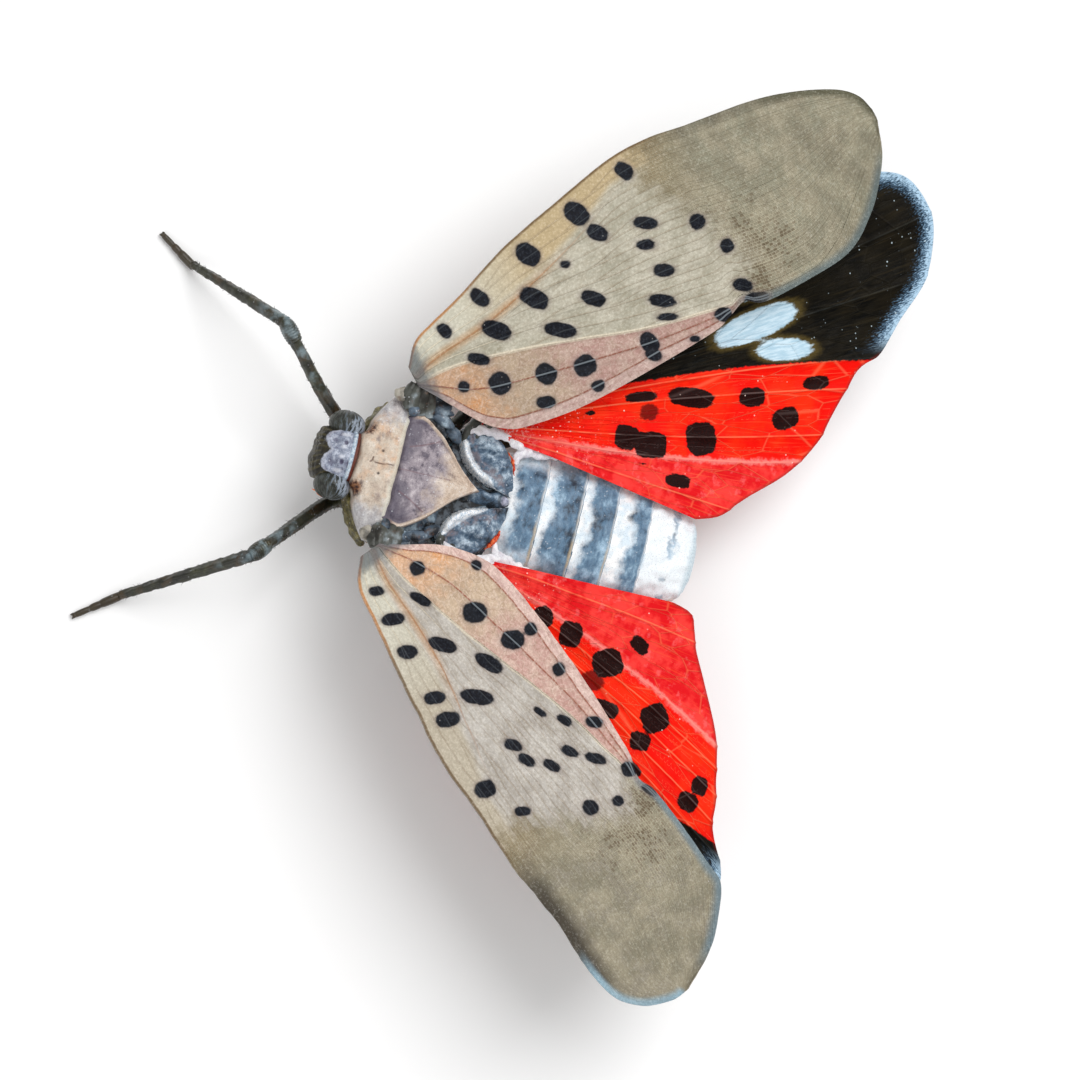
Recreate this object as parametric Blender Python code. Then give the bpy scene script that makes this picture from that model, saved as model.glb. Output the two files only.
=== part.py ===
"""Spotted lanternfly, adult, standing with both pairs of wings spread.

The animal is laid out in millimetres on its own body lines: x to its left, y towards its tail,
z up, with the origin on the midline between the forewing roots. At the end the whole animal is
moved so that the middle of its outline stands over the world origin with its feet at z = 0.
"""
import math

import bmesh
import bpy
import numpy as np
from mathutils import Vector

MM = 0.001                      # one millimetre, in metres
GAP = 0.28                      # space left between pieces that touch, mm

# Driving dimensions, mm and degrees
FLOOR = -5.4                    # level of the feet
PRONOTUM_FRONT = -4.67
PRONOTUM_BACK = -3.25
PRONOTUM_HALF = 3.1
HEAD_SECTIONS = ((-6.3, 0.55, -0.8, -1.7), (-6.12, 0.92, -0.4, -2.15), (-5.75, 1.1, -0.05, -2.45),
                 (-5.3, 1.12, 0.1, -2.5), (-4.97, 1.15, 0.12, -2.3))   # y, half width, top, bottom
EYE = (1.4, -5.46, -0.72)       # centre of the left eye's flat inner face
EYE_RADII = (0.52, 0.66, 0.62)
BULB = (1.5, -5.55, -2.05)      # the left feeler's bulb
BULB_RADII = (0.28, 0.3, 0.28)
BRISTLE = ((1.48, -5.75, -2.2), (1.42, -6.0, -2.5), (1.36, -6.2, -2.9))
BEAK = ((0.0, -5.8, -3.05), (0.0, -5.0, -3.2), (0.0, -3.4, -3.75), (0.0, -1.2, -4.1))
MESO_FRONT = PRONOTUM_BACK + GAP
MESO_BACK = -1.25
SCUTELLUM_TIP = 0.44
META_FRONT = MESO_BACK + GAP
META_BACK = 1.5
ABDOMEN_FRONT = META_BACK + GAP
ABDOMEN_SPLIT = 8.0             # where the last two rings, in one piece, begin
ABDOMEN_END = 10.45
THORAX_HALF = 2.8
TERGITES = 4
RING_LIP = 0.09                 # how far each ring steps out over the next

WING_THICK = 0.5
RIDGE_HIGH = 0.2
RIDGE_HALF = 0.24               # half the width of a vein's ridge
FOREWING_ROOT = (3.5, -3.4, 0.62)
FOREWING_STATIONS = 28
HINDWING_ROOT = (2.7, -0.6, -0.47)
HINDWING_NECK = 0.55            # distance from the fan's centre to the wing's first edge
HINDWING_REACH = 16.0           # the fan's usual length, which sets the width of its ridges
HINDWING_STATIONS = 16
HINDWING_LIFT = 0.6             # how far the inner edge is held up over the abdomen's side

# Each forewing's own set: sweep from the midline, rise to the tip, tilt of the front edge,
# fold along the claval suture, and its two margins as (distance from the root, across).
FOREWINGS = {
    "right": {
        "side": -1, "sweep": 44.5, "rise": 6.0, "tilt": 13.0, "fold": 9.0,
        "front": [(0.1, 0.6), (0.8, 1.38), (1.7, 1.7), (3.4, 2.18), (6.0, 3.05), (8.7, 3.6),
                  (11.4, 4.1), (13.3, 4.1), (15.1, 3.8), (17.9, 3.4), (19.8, 2.87), (21.5, 2.1),
                  (22.3, 1.4), (22.6, 0.6)],
        "hind": [(0.1, -0.3), (0.6, -1.1), (1.6, -2.75), (2.3, -3.45), (3.3, -3.9), (6.3, -4.35),
                 (11.8, -4.35), (13.1, -4.1), (14.0, -3.85), (14.8, -4.3), (17.2, -4.38),
                 (19.0, -4.2), (20.4, -3.35), (21.5, -2.2), (22.2, -1.1), (22.6, 0.1)],
    },
    "left": {
        "side": 1, "sweep": 39.5, "rise": 2.5, "tilt": 23.5, "fold": 19.5,
        "front": [(0.1, 0.75), (0.8, 1.56), (1.6, 1.93), (3.3, 2.34), (6.0, 3.0), (8.4, 3.48),
                  (11.0, 3.6), (13.6, 3.75), (16.2, 3.6), (18.3, 3.75), (19.65, 3.64),
                  (20.5, 3.24), (21.2, 2.5), (21.7, 1.4), (21.8, 0.9)],
        "hind": [(0.1, -0.3), (0.65, -1.05), (1.6, -2.4), (2.95, -3.53), (4.4, -3.99),
                 (8.3, -4.36), (12.6, -4.28), (14.0, -3.95), (14.9, -4.24), (16.9, -4.31),
                 (18.7, -4.18), (19.6, -3.9), (20.8, -2.42), (21.4, -1.2), (21.8, 0.4)],
    },
}
SUTURE = [(0.1, -0.15), (1.9, -0.3), (4.5, -1.0), (7.0, -1.85), (9.5, -2.75), (12.1, -3.4),
          (14.0, -3.75), (18.0, -3.9), (22.6, -0.2)]
CLAVUS_VEINS = (0.18, 0.6)      # place of each vein between the hind margin and the suture
CORIUM_VEINS = ((0.25, 0.30), (0.45, 0.56), (0.55, 0.82))   # near the root, and at the tip
FOREWING_CAMBER = 0.22
RIDGES_FADE = (12.5, 17.5)      # distances from the root between which the veins sink

# Each hindwing is a fan about its root: the margin as (angle from straight back, radius), how its
# plane climbs outwards and falls backwards, and each vein's angle at the root and at the margin.
HINDWINGS = {
    "right": {
        "side": -1, "climb": 0.219, "fall": -0.114,
        "edge": [(-5.6, 10.6), (-3.0, 11.6), (0.7, 12.26), (4.0, 13.0), (8.8, 14.4), (14.0, 15.5),
                 (17.3, 16.0), (22.0, 16.9), (24.4, 17.5), (25.8, 18.5), (29.8, 19.8),
                 (33.3, 21.2), (38.0, 22.1), (41.5, 22.2), (44.6, 21.8), (47.0, 20.6), (50.0, 18.2)],
        "veins": ((-2.0, -1.0), (2.6, 10.5), (11.0, 15.0), (24.6, 21.6), (29.8, 25.3), (33.5, 33.5),
                  (39.0, 40.0), (44.0, 45.5)),
    },
    "left": {
        "side": 1, "climb": 0.059, "fall": -0.129,
        "edge": [(-3.8, 10.5), (-2.4, 11.4), (0.5, 11.7), (4.4, 12.0), (8.1, 12.6), (14.0, 13.8),
                 (17.0, 14.35), (21.0, 15.0), (25.8, 15.85), (29.0, 16.4), (32.0, 17.8),
                 (34.3, 18.35), (37.0, 18.6), (40.0, 18.0), (44.0, 16.4)],
        "veins": ((0.0, 3.0), (8.6, 18.3), (15.0, 21.5), (21.5, 25.0), (26.5, 28.5), (31.0, 31.5),
                  (35.0, 36.0), (39.5, 40.5)),
    },
}

# Legs on the animal's left side, root to claw; the right side mirrors them but for the foreleg.
LEGS = {
    "fore_left": {
        "femur": [(1.25, -4.5, -3.3), (1.75, -5.2, -3.0), (3.2, -6.4, -2.2), (4.83, -7.74, -1.4)],
        "foot": (7.3, -12.15, -4.95), "claw": (8.65, -13.85),
        "thick": (0.38, 0.42, 0.34, 0.26, 0.25),
    },
    "fore_right": {
        "femur": [(-1.25, -4.5, -3.3), (-1.75, -5.3, -3.0), (-3.0, -6.9, -2.1), (-4.83, -8.82, -1.3)],
        "foot": (-7.0, -12.8, -4.95), "claw": (-8.0, -14.4),
        "thick": (0.38, 0.42, 0.34, 0.26, 0.25),
    },
    "mid": {
        "femur": [(2.3, -1.1, -3.45), (2.85, -0.8, -3.15), (4.1, -0.1, -2.35), (5.5, 0.5, -1.9)],
        "foot": (8.4, 3.4, -4.95), "claw": (9.5, 5.2),
        "thick": (0.36, 0.40, 0.32, 0.26, 0.25),
    },
    "hind": {
        "femur": [(2.35, 0.7, -3.5), (2.95, 1.4, -3.25), (3.65, 2.9, -2.8), (4.3, 4.4, -2.4)],
        "foot": (6.3, 10.6, -4.95), "claw": (7.1, 12.8),
        "thick": (0.36, 0.40, 0.33, 0.26, 0.25),
    },
}
HIND_SPINES = 4
LEG_SIDES = 8
EYE_SIDES = 12
BODY_SIDES = 18

COLOURS = {                     # base colour and roughness of each finish
    "waxy_grey": ((0.30, 0.33, 0.38), 0.6),
    "tan_plate": ((0.52, 0.40, 0.30), 0.6),
    "purple_grey": ((0.23, 0.19, 0.20), 0.6),
    "banded_abdomen": ((0.42, 0.50, 0.58), 0.65),
    "eye_brown": ((0.10, 0.09, 0.06), 0.3),
    "antenna_orange": ((0.75, 0.22, 0.03), 0.5),
    "leg_black": ((0.035, 0.035, 0.03), 0.45),
    "forewing_tan": ((0.50, 0.41, 0.32), 0.6),
    "hindwing_red": ((0.80, 0.035, 0.01), 0.5),
}


def finish(name):
    """The named finish as a material, made once."""
    material = bpy.data.materials.get(name)
    if material is None:
        colour, roughness = COLOURS[name]
        material = bpy.data.materials.new(name)
        material.use_nodes = True
        shader = material.node_tree.nodes["Principled BSDF"]
        shader.inputs["Base Color"].default_value = (*colour, 1.0)
        shader.inputs["Roughness"].default_value = roughness
        shader.inputs["Metallic"].default_value = 0.0
    return material


def add_piece(name, points, faces, finish_name, crease=40.0):
    """A closed mesh object from points in millimetres."""
    mesh = bpy.data.meshes.new(name)
    mesh.from_pydata([tuple(MM * c for c in p) for p in points], [], faces)
    shape = bmesh.new()
    shape.from_mesh(mesh)
    bmesh.ops.recalc_face_normals(shape, faces=shape.faces)
    shape.to_mesh(mesh)
    shape.free()
    mesh.shade_smooth()
    mesh.set_sharp_from_angle(angle=math.radians(crease))
    mesh.materials.append(finish(finish_name))
    piece = bpy.data.objects.new(name, mesh)
    bpy.context.scene.collection.objects.link(piece)
    return piece


def fuse(piece, extras):
    """Join closed pieces to one with a Boolean union and keep the result as the piece's mesh."""
    group = bpy.data.collections.new(piece.name + "_extras")
    for extra in extras:
        group.objects.link(extra)
    union = piece.modifiers.new("union", "BOOLEAN")
    union.operation = "UNION"
    union.operand_type = "COLLECTION"
    union.collection = group
    union.solver = "EXACT"
    bpy.context.view_layer.update()
    evaluated = piece.evaluated_get(bpy.context.evaluated_depsgraph_get())
    joined = bpy.data.meshes.new_from_object(evaluated)
    piece.modifiers.remove(union)
    piece.data = joined
    for extra in extras:
        bpy.data.objects.remove(extra)
    bpy.data.collections.remove(group)
    return piece


def loft(rings):
    """Points and faces of a closed body through rings of equally many points."""
    points = [p for ring in rings for p in ring]
    count = len(rings[0])
    faces = []
    for i in range(len(rings) - 1):
        for j in range(count):
            k = (j + 1) % count
            faces.append((i * count + j, i * count + k, (i + 1) * count + k, (i + 1) * count + j))
    for i in (0, len(rings) - 1):
        middle = len(points)
        points.append(tuple(np.mean(rings[i], axis=0)))
        for j in range(count):
            faces.append((middle, i * count + j, i * count + (j + 1) % count))
    return points, faces


def oval(half_width, top, bottom, sides, squareness=0.8):
    """An oval outline as (across, up) pairs, widest in its upper half."""
    middle = bottom + 0.6 * (top - bottom)
    outline = []
    for k in range(sides):
        angle = 2.0 * math.pi * k / sides
        across = math.copysign(abs(math.cos(angle)) ** squareness, math.cos(angle))
        up = math.copysign(abs(math.sin(angle)) ** squareness, math.sin(angle))
        reach = top - middle if up > 0 else middle - bottom
        outline.append((half_width * across, middle + reach * up))
    return outline


def body_loft(name, sections, finish_name, sides=BODY_SIDES, squareness=0.8):
    """A body piece lofted along y through (y, half width, top, bottom) sections."""
    rings = []
    for y, half_width, top, bottom in sections:
        rings.append([(x, y, z) for x, z in oval(half_width, top, bottom, sides, squareness)])
    return add_piece(name, *loft(rings), finish_name)


def ellipsoid(name, centre, radii, finish_name, rings=5, sides=10):
    """A closed ellipsoid with its poles up and down."""
    points = [(centre[0], centre[1], centre[2] - radii[2])]
    faces = []
    for i in range(1, rings + 1):
        polar = math.pi * i / (rings + 1)
        for j in range(sides):
            turn = 2.0 * math.pi * j / sides
            points.append((centre[0] + radii[0] * math.sin(polar) * math.cos(turn),
                           centre[1] + radii[1] * math.sin(polar) * math.sin(turn),
                           centre[2] - radii[2] * math.cos(polar)))
    points.append((centre[0], centre[1], centre[2] + radii[2]))
    last = len(points) - 1
    for j in range(sides):
        k = (j + 1) % sides
        faces.append((0, 1 + k, 1 + j))
        faces.append((last, last - sides + j, last - sides + k))
        for i in range(rings - 1):
            a, b = 1 + i * sides + j, 1 + i * sides + k
            faces.append((a, b, b + sides, a + sides))
    return add_piece(name, points, faces, finish_name)


def tube(name, path, radii, finish_name, sides=LEG_SIDES, floor=None):
    """A round limb along a path; where a floor is given its underside is flat on it."""
    path = [Vector(p) for p in path]
    rings = []
    across = None
    for i, centre in enumerate(path):
        before = path[max(i - 1, 0)]
        after = path[min(i + 1, len(path) - 1)]
        along = (after - before).normalized()
        if across is None:
            across = along.cross(Vector((0.0, 0.0, 1.0))).normalized()
        across = (across - along * across.dot(along)).normalized()
        up = across.cross(along)
        ring = []
        for k in range(sides):
            angle = 2.0 * math.pi * (k + 0.5) / sides
            point = centre + radii[i] * (math.cos(angle) * across + math.sin(angle) * up)
            if floor is not None:
                point.z = max(point.z, floor)
            ring.append(tuple(point))
        rings.append(ring)
    return add_piece(name, *loft(rings), finish_name)


def smooth_line(points, steps=8):
    """Closely spaced points on a smooth curve through the given ones."""
    p = np.array(points, dtype=float)
    p = np.vstack([2 * p[0] - p[1], p, 2 * p[-1] - p[-2]])
    dense = []
    for i in range(1, len(p) - 2):
        for k in range(steps):
            t = k / steps
            dense.append(0.5 * (2 * p[i] + (p[i + 1] - p[i - 1]) * t
                                + (2 * p[i - 1] - 5 * p[i] + 4 * p[i + 1] - p[i + 2]) * t ** 2
                                + (3 * p[i] - p[i - 1] - 3 * p[i + 1] + p[i + 2]) * t ** 3))
    dense.append(p[-2])
    return np.array(dense)


def rows_between(hind, front, veins):
    """Places across a wing, margin to margin, with three rows at each vein, and each row's crest."""
    places = [hind]
    crests = [0.0]
    for i, vein in enumerate(veins):
        below = veins[i - 1] if i else hind
        above = veins[i + 1] if i + 1 < len(veins) else front
        half = min(RIDGE_HALF, 0.3 * (vein - below), 0.3 * (above - vein))
        half = max(half, 0.0)
        places += [vein - half, vein, vein + half]
        crests += [0.0, half / RIDGE_HALF, 0.0]
    places.append(front)
    crests.append(0.5)
    share = (np.array(places) - hind) / (front - hind)
    least = 0.35 / len(share)
    for i in range(1, len(share)):
        share[i] = max(share[i], share[i - 1] + least)
    share = share / share[-1]
    for i in range(len(share) - 2, 0, -1):
        share[i] = min(share[i], share[i + 1] - least)
    return hind + share * (front - hind), crests


def vane(name, upper, lower, finish_name):
    """A thin wing from two alike grids of points, split into triangles alike on both faces."""
    count_s, count_t = upper.shape[:2]
    points = [tuple(p) for p in upper.reshape(-1, 3)] + [tuple(p) for p in lower.reshape(-1, 3)]
    under = count_s * count_t
    faces = []
    for i in range(count_s - 1):
        for j in range(count_t - 1):
            a = i * count_t + j
            b = a + count_t
            for face in ((a, b, b + 1), (a, b + 1, a + 1)):
                faces.append(face)
                faces.append(tuple(under + v for v in reversed(face)))
    rim = [i * count_t for i in range(count_s)]
    rim += [(count_s - 1) * count_t + j for j in range(1, count_t)]
    rim += [i * count_t + count_t - 1 for i in range(count_s - 2, -1, -1)]
    rim += list(range(count_t - 2, 0, -1))
    for k, v in enumerate(rim):
        w = rim[(k + 1) % len(rim)]
        faces.append((v, under + v, under + w))
        faces.append((v, under + w, w))
    return add_piece(name, points, faces, finish_name, crease=50.0)


def build_head():
    """The short broad head, its domed eyes, the bulb-and-bristle feelers and the beak below."""
    body_loft("head", HEAD_SECTIONS, "waxy_grey")
    for side, suffix in ((1, "left"), (-1, "right")):
        rings = []
        for step in range(5):
            angle = 0.5 * math.pi * step / 4.6
            size = math.cos(angle)
            x = side * (EYE[0] + EYE_RADII[0] * math.sin(angle))
            turns = [2.0 * math.pi * k / EYE_SIDES for k in range(EYE_SIDES)]
            rings.append([(x, EYE[1] + EYE_RADII[1] * size * math.cos(turn),
                           EYE[2] + EYE_RADII[2] * size * math.sin(turn)) for turn in turns])
        add_piece("eye_" + suffix, *loft(rings), "eye_brown")
        bulb = ellipsoid("antenna_" + suffix, (side * BULB[0], BULB[1], BULB[2]), BULB_RADII,
                         "antenna_orange")
        bristle = tube("bristle", [(side * x, y, z) for x, y, z in BRISTLE], (0.14, 0.08, 0.03),
                       "antenna_orange", 6)
        fuse(bulb, [bristle])
    tube("beak", BEAK, (0.3, 0.28, 0.24, 0.14), "leg_black")


def build_prothorax():
    """The saddle-shaped pronotum over the neck, lofted from side to side."""
    rings = []
    for x in (-3.1, -2.85, -2.2, -1.4, -0.7, 0.0, 0.7, 1.4, 2.2, 2.85, 3.1):
        off = abs(x) / PRONOTUM_HALF
        front = PRONOTUM_FRONT + 0.72 * off ** 2.2
        back = PRONOTUM_BACK + 0.04 * off ** 2
        top = 0.42 - 0.8 * off ** 1.8
        bottom = -2.7 + 1.5 * off ** 2.2
        middle = (0.5 * (front + back), 0.5 * (top + bottom))
        ring = []
        for k in range(14):
            angle = 2.0 * math.pi * (k + 0.5) / 14
            c, s = math.cos(angle), math.sin(angle)
            ring.append((x, middle[0] + 0.5 * (back - front) * math.copysign(abs(c) ** 0.45, c),
                         middle[1] + 0.5 * (top - bottom) * math.copysign(abs(s) ** 0.8, s)))
        rings.append(ring)
    prothorax = add_piece("prothorax", *loft(rings), "tan_plate")
    keel = ellipsoid("keel", (0.0, 0.5 * (PRONOTUM_FRONT + PRONOTUM_BACK), 0.36), (0.14, 0.5, 0.17),
                     "tan_plate", 3, 8)
    fuse(prothorax, [keel])


def build_mesothorax():
    """The wing-bearing thorax with its pointed shield, and a small plate before each wing root."""
    core = body_loft("mesothorax", [
        (MESO_FRONT, 2.5, -0.05, -3.0), (-2.6, THORAX_HALF, 0.0, -3.3),
        (-1.9, THORAX_HALF, -0.05, -3.45), (MESO_BACK, 2.6, -0.2, -3.4)], "purple_grey")
    rings = []
    for y, half in ((MESO_FRONT + 0.08, 2.2), (-2.7, 2.3), (-2.1, 2.05), (-1.4, 1.55), (-0.7, 0.95),
                    (-0.1, 0.48), (0.25, 0.24), (SCUTELLUM_TIP, 0.09)):
        rise = 0.22 - 0.06 * (y + 1.5) ** 2 * (1.0 if y > -1.5 else 0.2)
        rings.append([(half, y, rise - 0.12), (0.88 * half, y, rise + 0.03), (0.7 * half, y, rise - 0.03),
                      (0.12 * half, y, rise), (0.0, y, rise + 0.05), (-0.12 * half, y, rise),
                      (-0.7 * half, y, rise - 0.03), (-0.88 * half, y, rise + 0.03),
                      (-half, y, rise - 0.12), (-0.8 * half, y, -0.35), (0.8 * half, y, -0.35)])
    shield = add_piece("shield", *loft(rings), "purple_grey")
    bosses = [ellipsoid("boss", (side * 2.42, -2.5, 0.02), (0.5, 0.65, 0.42), "purple_grey")
              for side in (1, -1)]
    fuse(core, [shield] + bosses)
    for side, suffix in ((1, "left"), (-1, "right")):
        ellipsoid("tegula_" + suffix, (side * 3.0, -3.72, 0.2), (0.26, 0.3, 0.2), "waxy_grey", 4, 8)


def build_metathorax():
    """The last thorax ring, sunk under the shield's tip, with its two lobes and wing bosses."""
    core = body_loft("metathorax", [
        (META_FRONT, 2.35, -0.72, -3.35), (-0.2, 2.45, -0.72, -3.4), (0.55, 2.45, -0.7, -3.45),
        (0.95, 2.42, -0.5, -3.5), (META_BACK, 2.35, -0.5, -3.5)], "waxy_grey")
    extras = []
    for side in (1, -1):
        extras.append(ellipsoid("lobe", (side * 1.45, 0.42, -0.62), (0.62, 0.9, 0.5), "waxy_grey"))
        extras.append(ellipsoid("boss", (side * 2.0, -0.35, -1.0), (0.48, 0.55, 0.45), "waxy_grey"))
    fuse(core, extras)


def abdomen_section(y):
    """Half width, top and bottom of the abdomen at y."""
    t = (y - ABDOMEN_FRONT) / (ABDOMEN_END - ABDOMEN_FRONT)
    half_width = np.interp(t, (0.0, 0.15, 0.4, 0.65, 0.85, 0.95, 1.0), (2.3, 2.5, 2.6, 2.4, 1.95, 1.5, 0.9))
    top = np.interp(t, (0.0, 0.3, 0.6, 0.85, 0.95, 1.0), (-0.72, -0.85, -1.0, -1.3, -1.6, -2.0))
    bottom = np.interp(t, (0.0, 0.3, 0.6, 0.85, 0.95, 1.0), (-3.6, -4.25, -4.3, -3.75, -3.35, -2.9))
    return float(half_width), float(top), float(bottom)


def build_abdomen():
    """The ringed abdomen, each ring stepping out over the next, and its last ring apart."""
    step = (ABDOMEN_SPLIT - ABDOMEN_FRONT) / TERGITES
    sections = []
    for ring in range(TERGITES):
        front = ABDOMEN_FRONT + ring * step
        for y, grow in ((front, -RING_LIP if ring else 0.0), (front + 0.45 * step, 0.0),
                        (front + step - 0.12, RING_LIP)):
            half_width, top, bottom = abdomen_section(y)
            sections.append((y, half_width + grow, top + 0.6 * grow, bottom - grow))
    half_width, top, bottom = abdomen_section(ABDOMEN_SPLIT)
    sections.append((ABDOMEN_SPLIT, half_width - 0.1, top - 0.08, bottom + 0.1))
    body_loft("abdomen", sections, "banded_abdomen", squareness=1.0)
    start = ABDOMEN_SPLIT + GAP
    sections = []
    for share in (0.0, 0.3, 0.6, 0.85, 1.0):
        y = start + share * (ABDOMEN_END - start)
        sections.append((y, *abdomen_section(y)))
    body_loft("abdomen_tip", sections, "banded_abdomen", squareness=1.0)


def forewing_frame(wing):
    """The wing's three axes: root to tip, towards the front edge, and up out of its face."""
    side = wing["side"]
    sweep, rise, tilt = (math.radians(wing[key]) for key in ("sweep", "rise", "tilt"))
    along = np.array([side * math.sin(sweep) * math.cos(rise), math.cos(sweep) * math.cos(rise),
                      math.sin(rise)])
    level = np.array([side * math.cos(sweep), -math.sin(sweep), 0.0])
    face = np.cross(along, level)
    face *= math.copysign(1.0, face[2])
    across = level * math.cos(tilt) + face * math.sin(tilt)
    return along, across, face * math.cos(tilt) - level * math.sin(tilt)


def build_forewing(suffix):
    """A leathery forewing: corium, folded clavus, and ridged veins that fade towards the tip."""
    wing = FOREWINGS[suffix]
    along, across, out = forewing_frame(wing)
    fold = math.radians(wing["fold"])
    clavus_across = across * math.cos(fold) - out * math.sin(fold)
    clavus_out = out * math.cos(fold) + across * math.sin(fold)
    root = np.array(FOREWING_ROOT) * (wing["side"], 1.0, 1.0)
    front = smooth_line(wing["front"])
    hind = smooth_line(wing["hind"])
    suture = smooth_line(SUTURE)
    start, end = wing["front"][0][0], wing["front"][-1][0]
    upper, lower = [], []
    for i in range(FOREWING_STATIONS + 1):
        s = i / FOREWING_STATIONS
        x = start + (end - start) * (0.55 * s + 0.45 * 0.5 * (1.0 - math.cos(math.pi * s)))
        y_front = np.interp(x, front[:, 0], front[:, 1])
        y_hind = min(np.interp(x, hind[:, 0], hind[:, 1]), y_front - 0.35)
        y_suture = np.interp(x, suture[:, 0], suture[:, 1])
        y_suture = min(max(y_suture, y_hind + 0.3), y_front - 0.1)
        veins = [y_hind + share * (y_suture - y_hind) for share in CLAVUS_VEINS]
        veins.append(y_suture)
        for near, far in CORIUM_VEINS:
            veins.append(y_suture + (near + (far - near) * min(s / 0.5, 1.0)) * (y_front - y_suture))
        places, crests = rows_between(y_hind, y_front, veins)
        fade = float(np.interp(x, RIDGES_FADE, (1.0, 0.4)))
        row_upper, row_lower = [], []
        for y, crest in zip(places, crests):
            behind = y < y_suture
            middle = root + along * x + across * min(max(y, y_suture), y_front)
            normal = out
            if behind:
                middle = middle + clavus_across * (y - y_suture)
                normal = clavus_out
            else:
                swell = math.sin(math.pi * (y - y_suture) / (y_front - y_suture))
                middle = middle + out * FOREWING_CAMBER * swell * math.sin(math.pi * s)
            row_upper.append(middle + normal * (0.5 * WING_THICK + RIDGE_HIGH * crest * fade))
            row_lower.append(middle - normal * 0.5 * WING_THICK)
        upper.append(row_upper)
        lower.append(row_lower)
    vane("forewing_" + suffix, np.array(upper), np.array(lower), "forewing_tan")


def build_hindwing(suffix):
    """A hindwing spread as a fan, its ribs raised along the rays from the root."""
    wing = HINDWINGS[suffix]
    side = wing["side"]
    root = np.array(HINDWING_ROOT) * (side, 1.0, 1.0)
    edge = smooth_line(wing["edge"])
    inner, outer = wing["edge"][0][0], wing["edge"][-1][0]
    normal = np.array([-wing["climb"] * side, -wing["fall"], 1.0])
    normal /= np.linalg.norm(normal)
    upper, lower = [], []
    for i in range(HINDWING_STATIONS + 1):
        s = i / HINDWING_STATIONS
        width = math.degrees(1.0 / (HINDWING_NECK + s * HINDWING_REACH))
        veins = [(start + s * (end - start)) / width for start, end in wing["veins"]]
        places, crests = rows_between(inner / width, outer / width, veins)
        row_upper, row_lower = [], []
        for place, crest in zip(places, crests):
            angle = place * width
            reach = np.interp(angle, edge[:, 0], edge[:, 1])
            radius = HINDWING_NECK + s * (reach - HINDWING_NECK)
            x = radius * math.sin(math.radians(angle))
            y = radius * math.cos(math.radians(angle))
            over_body = min(max((2.2 - x) / 3.0, 0.0), 1.0) * min(max((y - 1.0) / 3.0, 0.0), 1.0)
            z = wing["climb"] * x + wing["fall"] * y + HINDWING_LIFT * over_body
            middle = root + np.array([side * x, y, z])
            high = RIDGE_HIGH * crest * min(2.5 * s, 1.0)
            row_upper.append(middle + normal * (0.5 * WING_THICK + high))
            row_lower.append(middle - normal * 0.5 * WING_THICK)
        upper.append(row_upper)
        lower.append(row_lower)
    vane("hindwing_" + suffix, np.array(upper), np.array(lower), "hindwing_red")


def build_leg(name, leg, mirror=1):
    """One leg in three pieces: coxa and femur, tibia, and the tarsus flat on the floor."""
    flip = Vector((mirror, 1.0, 1.0))
    femur = [Vector(p) * flip for p in leg["femur"]]
    foot = Vector(leg["foot"]) * flip
    claw = Vector((leg["claw"][0], leg["claw"][1], FLOOR + 0.16)) * flip
    r_root, r_femur, r_knee, r_tibia, r_tarsus = leg["thick"]
    tube("femur_" + name, femur, (r_root, r_femur, 0.5 * (r_femur + r_knee), r_knee), "leg_black")
    knee = femur[-1]
    down = (foot - knee).normalized()
    top = knee + down * (r_knee + GAP)
    shin = [top, top + down * 0.5]
    shin += [knee.lerp(foot, share) for share in (0.55, 0.85, 1.0)]
    tibia = tube("tibia_" + name, shin, (0.27, 0.31, r_tibia, r_tibia, 0.27), "leg_black")
    if leg is LEGS["hind"]:
        spines = []
        outward = Vector((mirror * 0.75, 0.1, 0.25)).normalized()
        for k in range(HIND_SPINES):
            base = knee.lerp(foot, 0.35 + 0.17 * k)
            spines.append(tube("spine", [base, base + 0.65 * outward + 0.2 * down], (0.14, 0.03),
                               "leg_black", 5))
        fuse(tibia, spines)
    level = Vector((claw.x - foot.x, claw.y - foot.y, 0.0)).normalized()
    sole = FLOOR + 0.26
    heel = Vector((foot.x, foot.y, sole)) + level * (0.12 + GAP)
    toe = Vector((claw.x, claw.y, FLOOR + 0.14))
    path = [heel] + [heel.lerp(toe, share) for share in (0.3, 0.62, 0.9)] + [toe]
    tube("tarsus_" + name, path, (r_tarsus, 0.27, 0.27, 0.25, 0.15), "leg_black", floor=FLOOR)


def stand_on_origin():
    """Move the whole animal so that its outline's middle is over the origin, feet at zero."""
    pieces = [o for o in bpy.context.scene.objects if o.type == "MESH"]
    corners = np.array([v.co for piece in pieces for v in piece.data.vertices])
    low, high = corners.min(axis=0), corners.max(axis=0)
    shift = Vector((-0.5 * (low[0] + high[0]), -0.5 * (low[1] + high[1]), -low[2]))
    for piece in pieces:
        piece.location = shift


for old in list(bpy.data.objects):
    bpy.data.objects.remove(old)
build_head()
build_prothorax()
build_mesothorax()
build_metathorax()
build_abdomen()
for wing_side in ("left", "right"):
    build_forewing(wing_side)
    build_hindwing(wing_side)
build_leg("fore_left", LEGS["fore_left"])
build_leg("fore_right", LEGS["fore_right"])
for pair in ("mid", "hind"):
    build_leg(pair + "_left", LEGS[pair])
    build_leg(pair + "_right", LEGS[pair], mirror=-1)
stand_on_origin()
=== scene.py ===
# Spotted lanternfly, the finished surface. Lengths in this file are millimetres on the animal's own
# lines: x to its left, y towards its tail, z up, from the midline between the forewing roots.
import math
import random

import bmesh
import bpy
import numpy as np
from mathutils import Matrix, Vector


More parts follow.
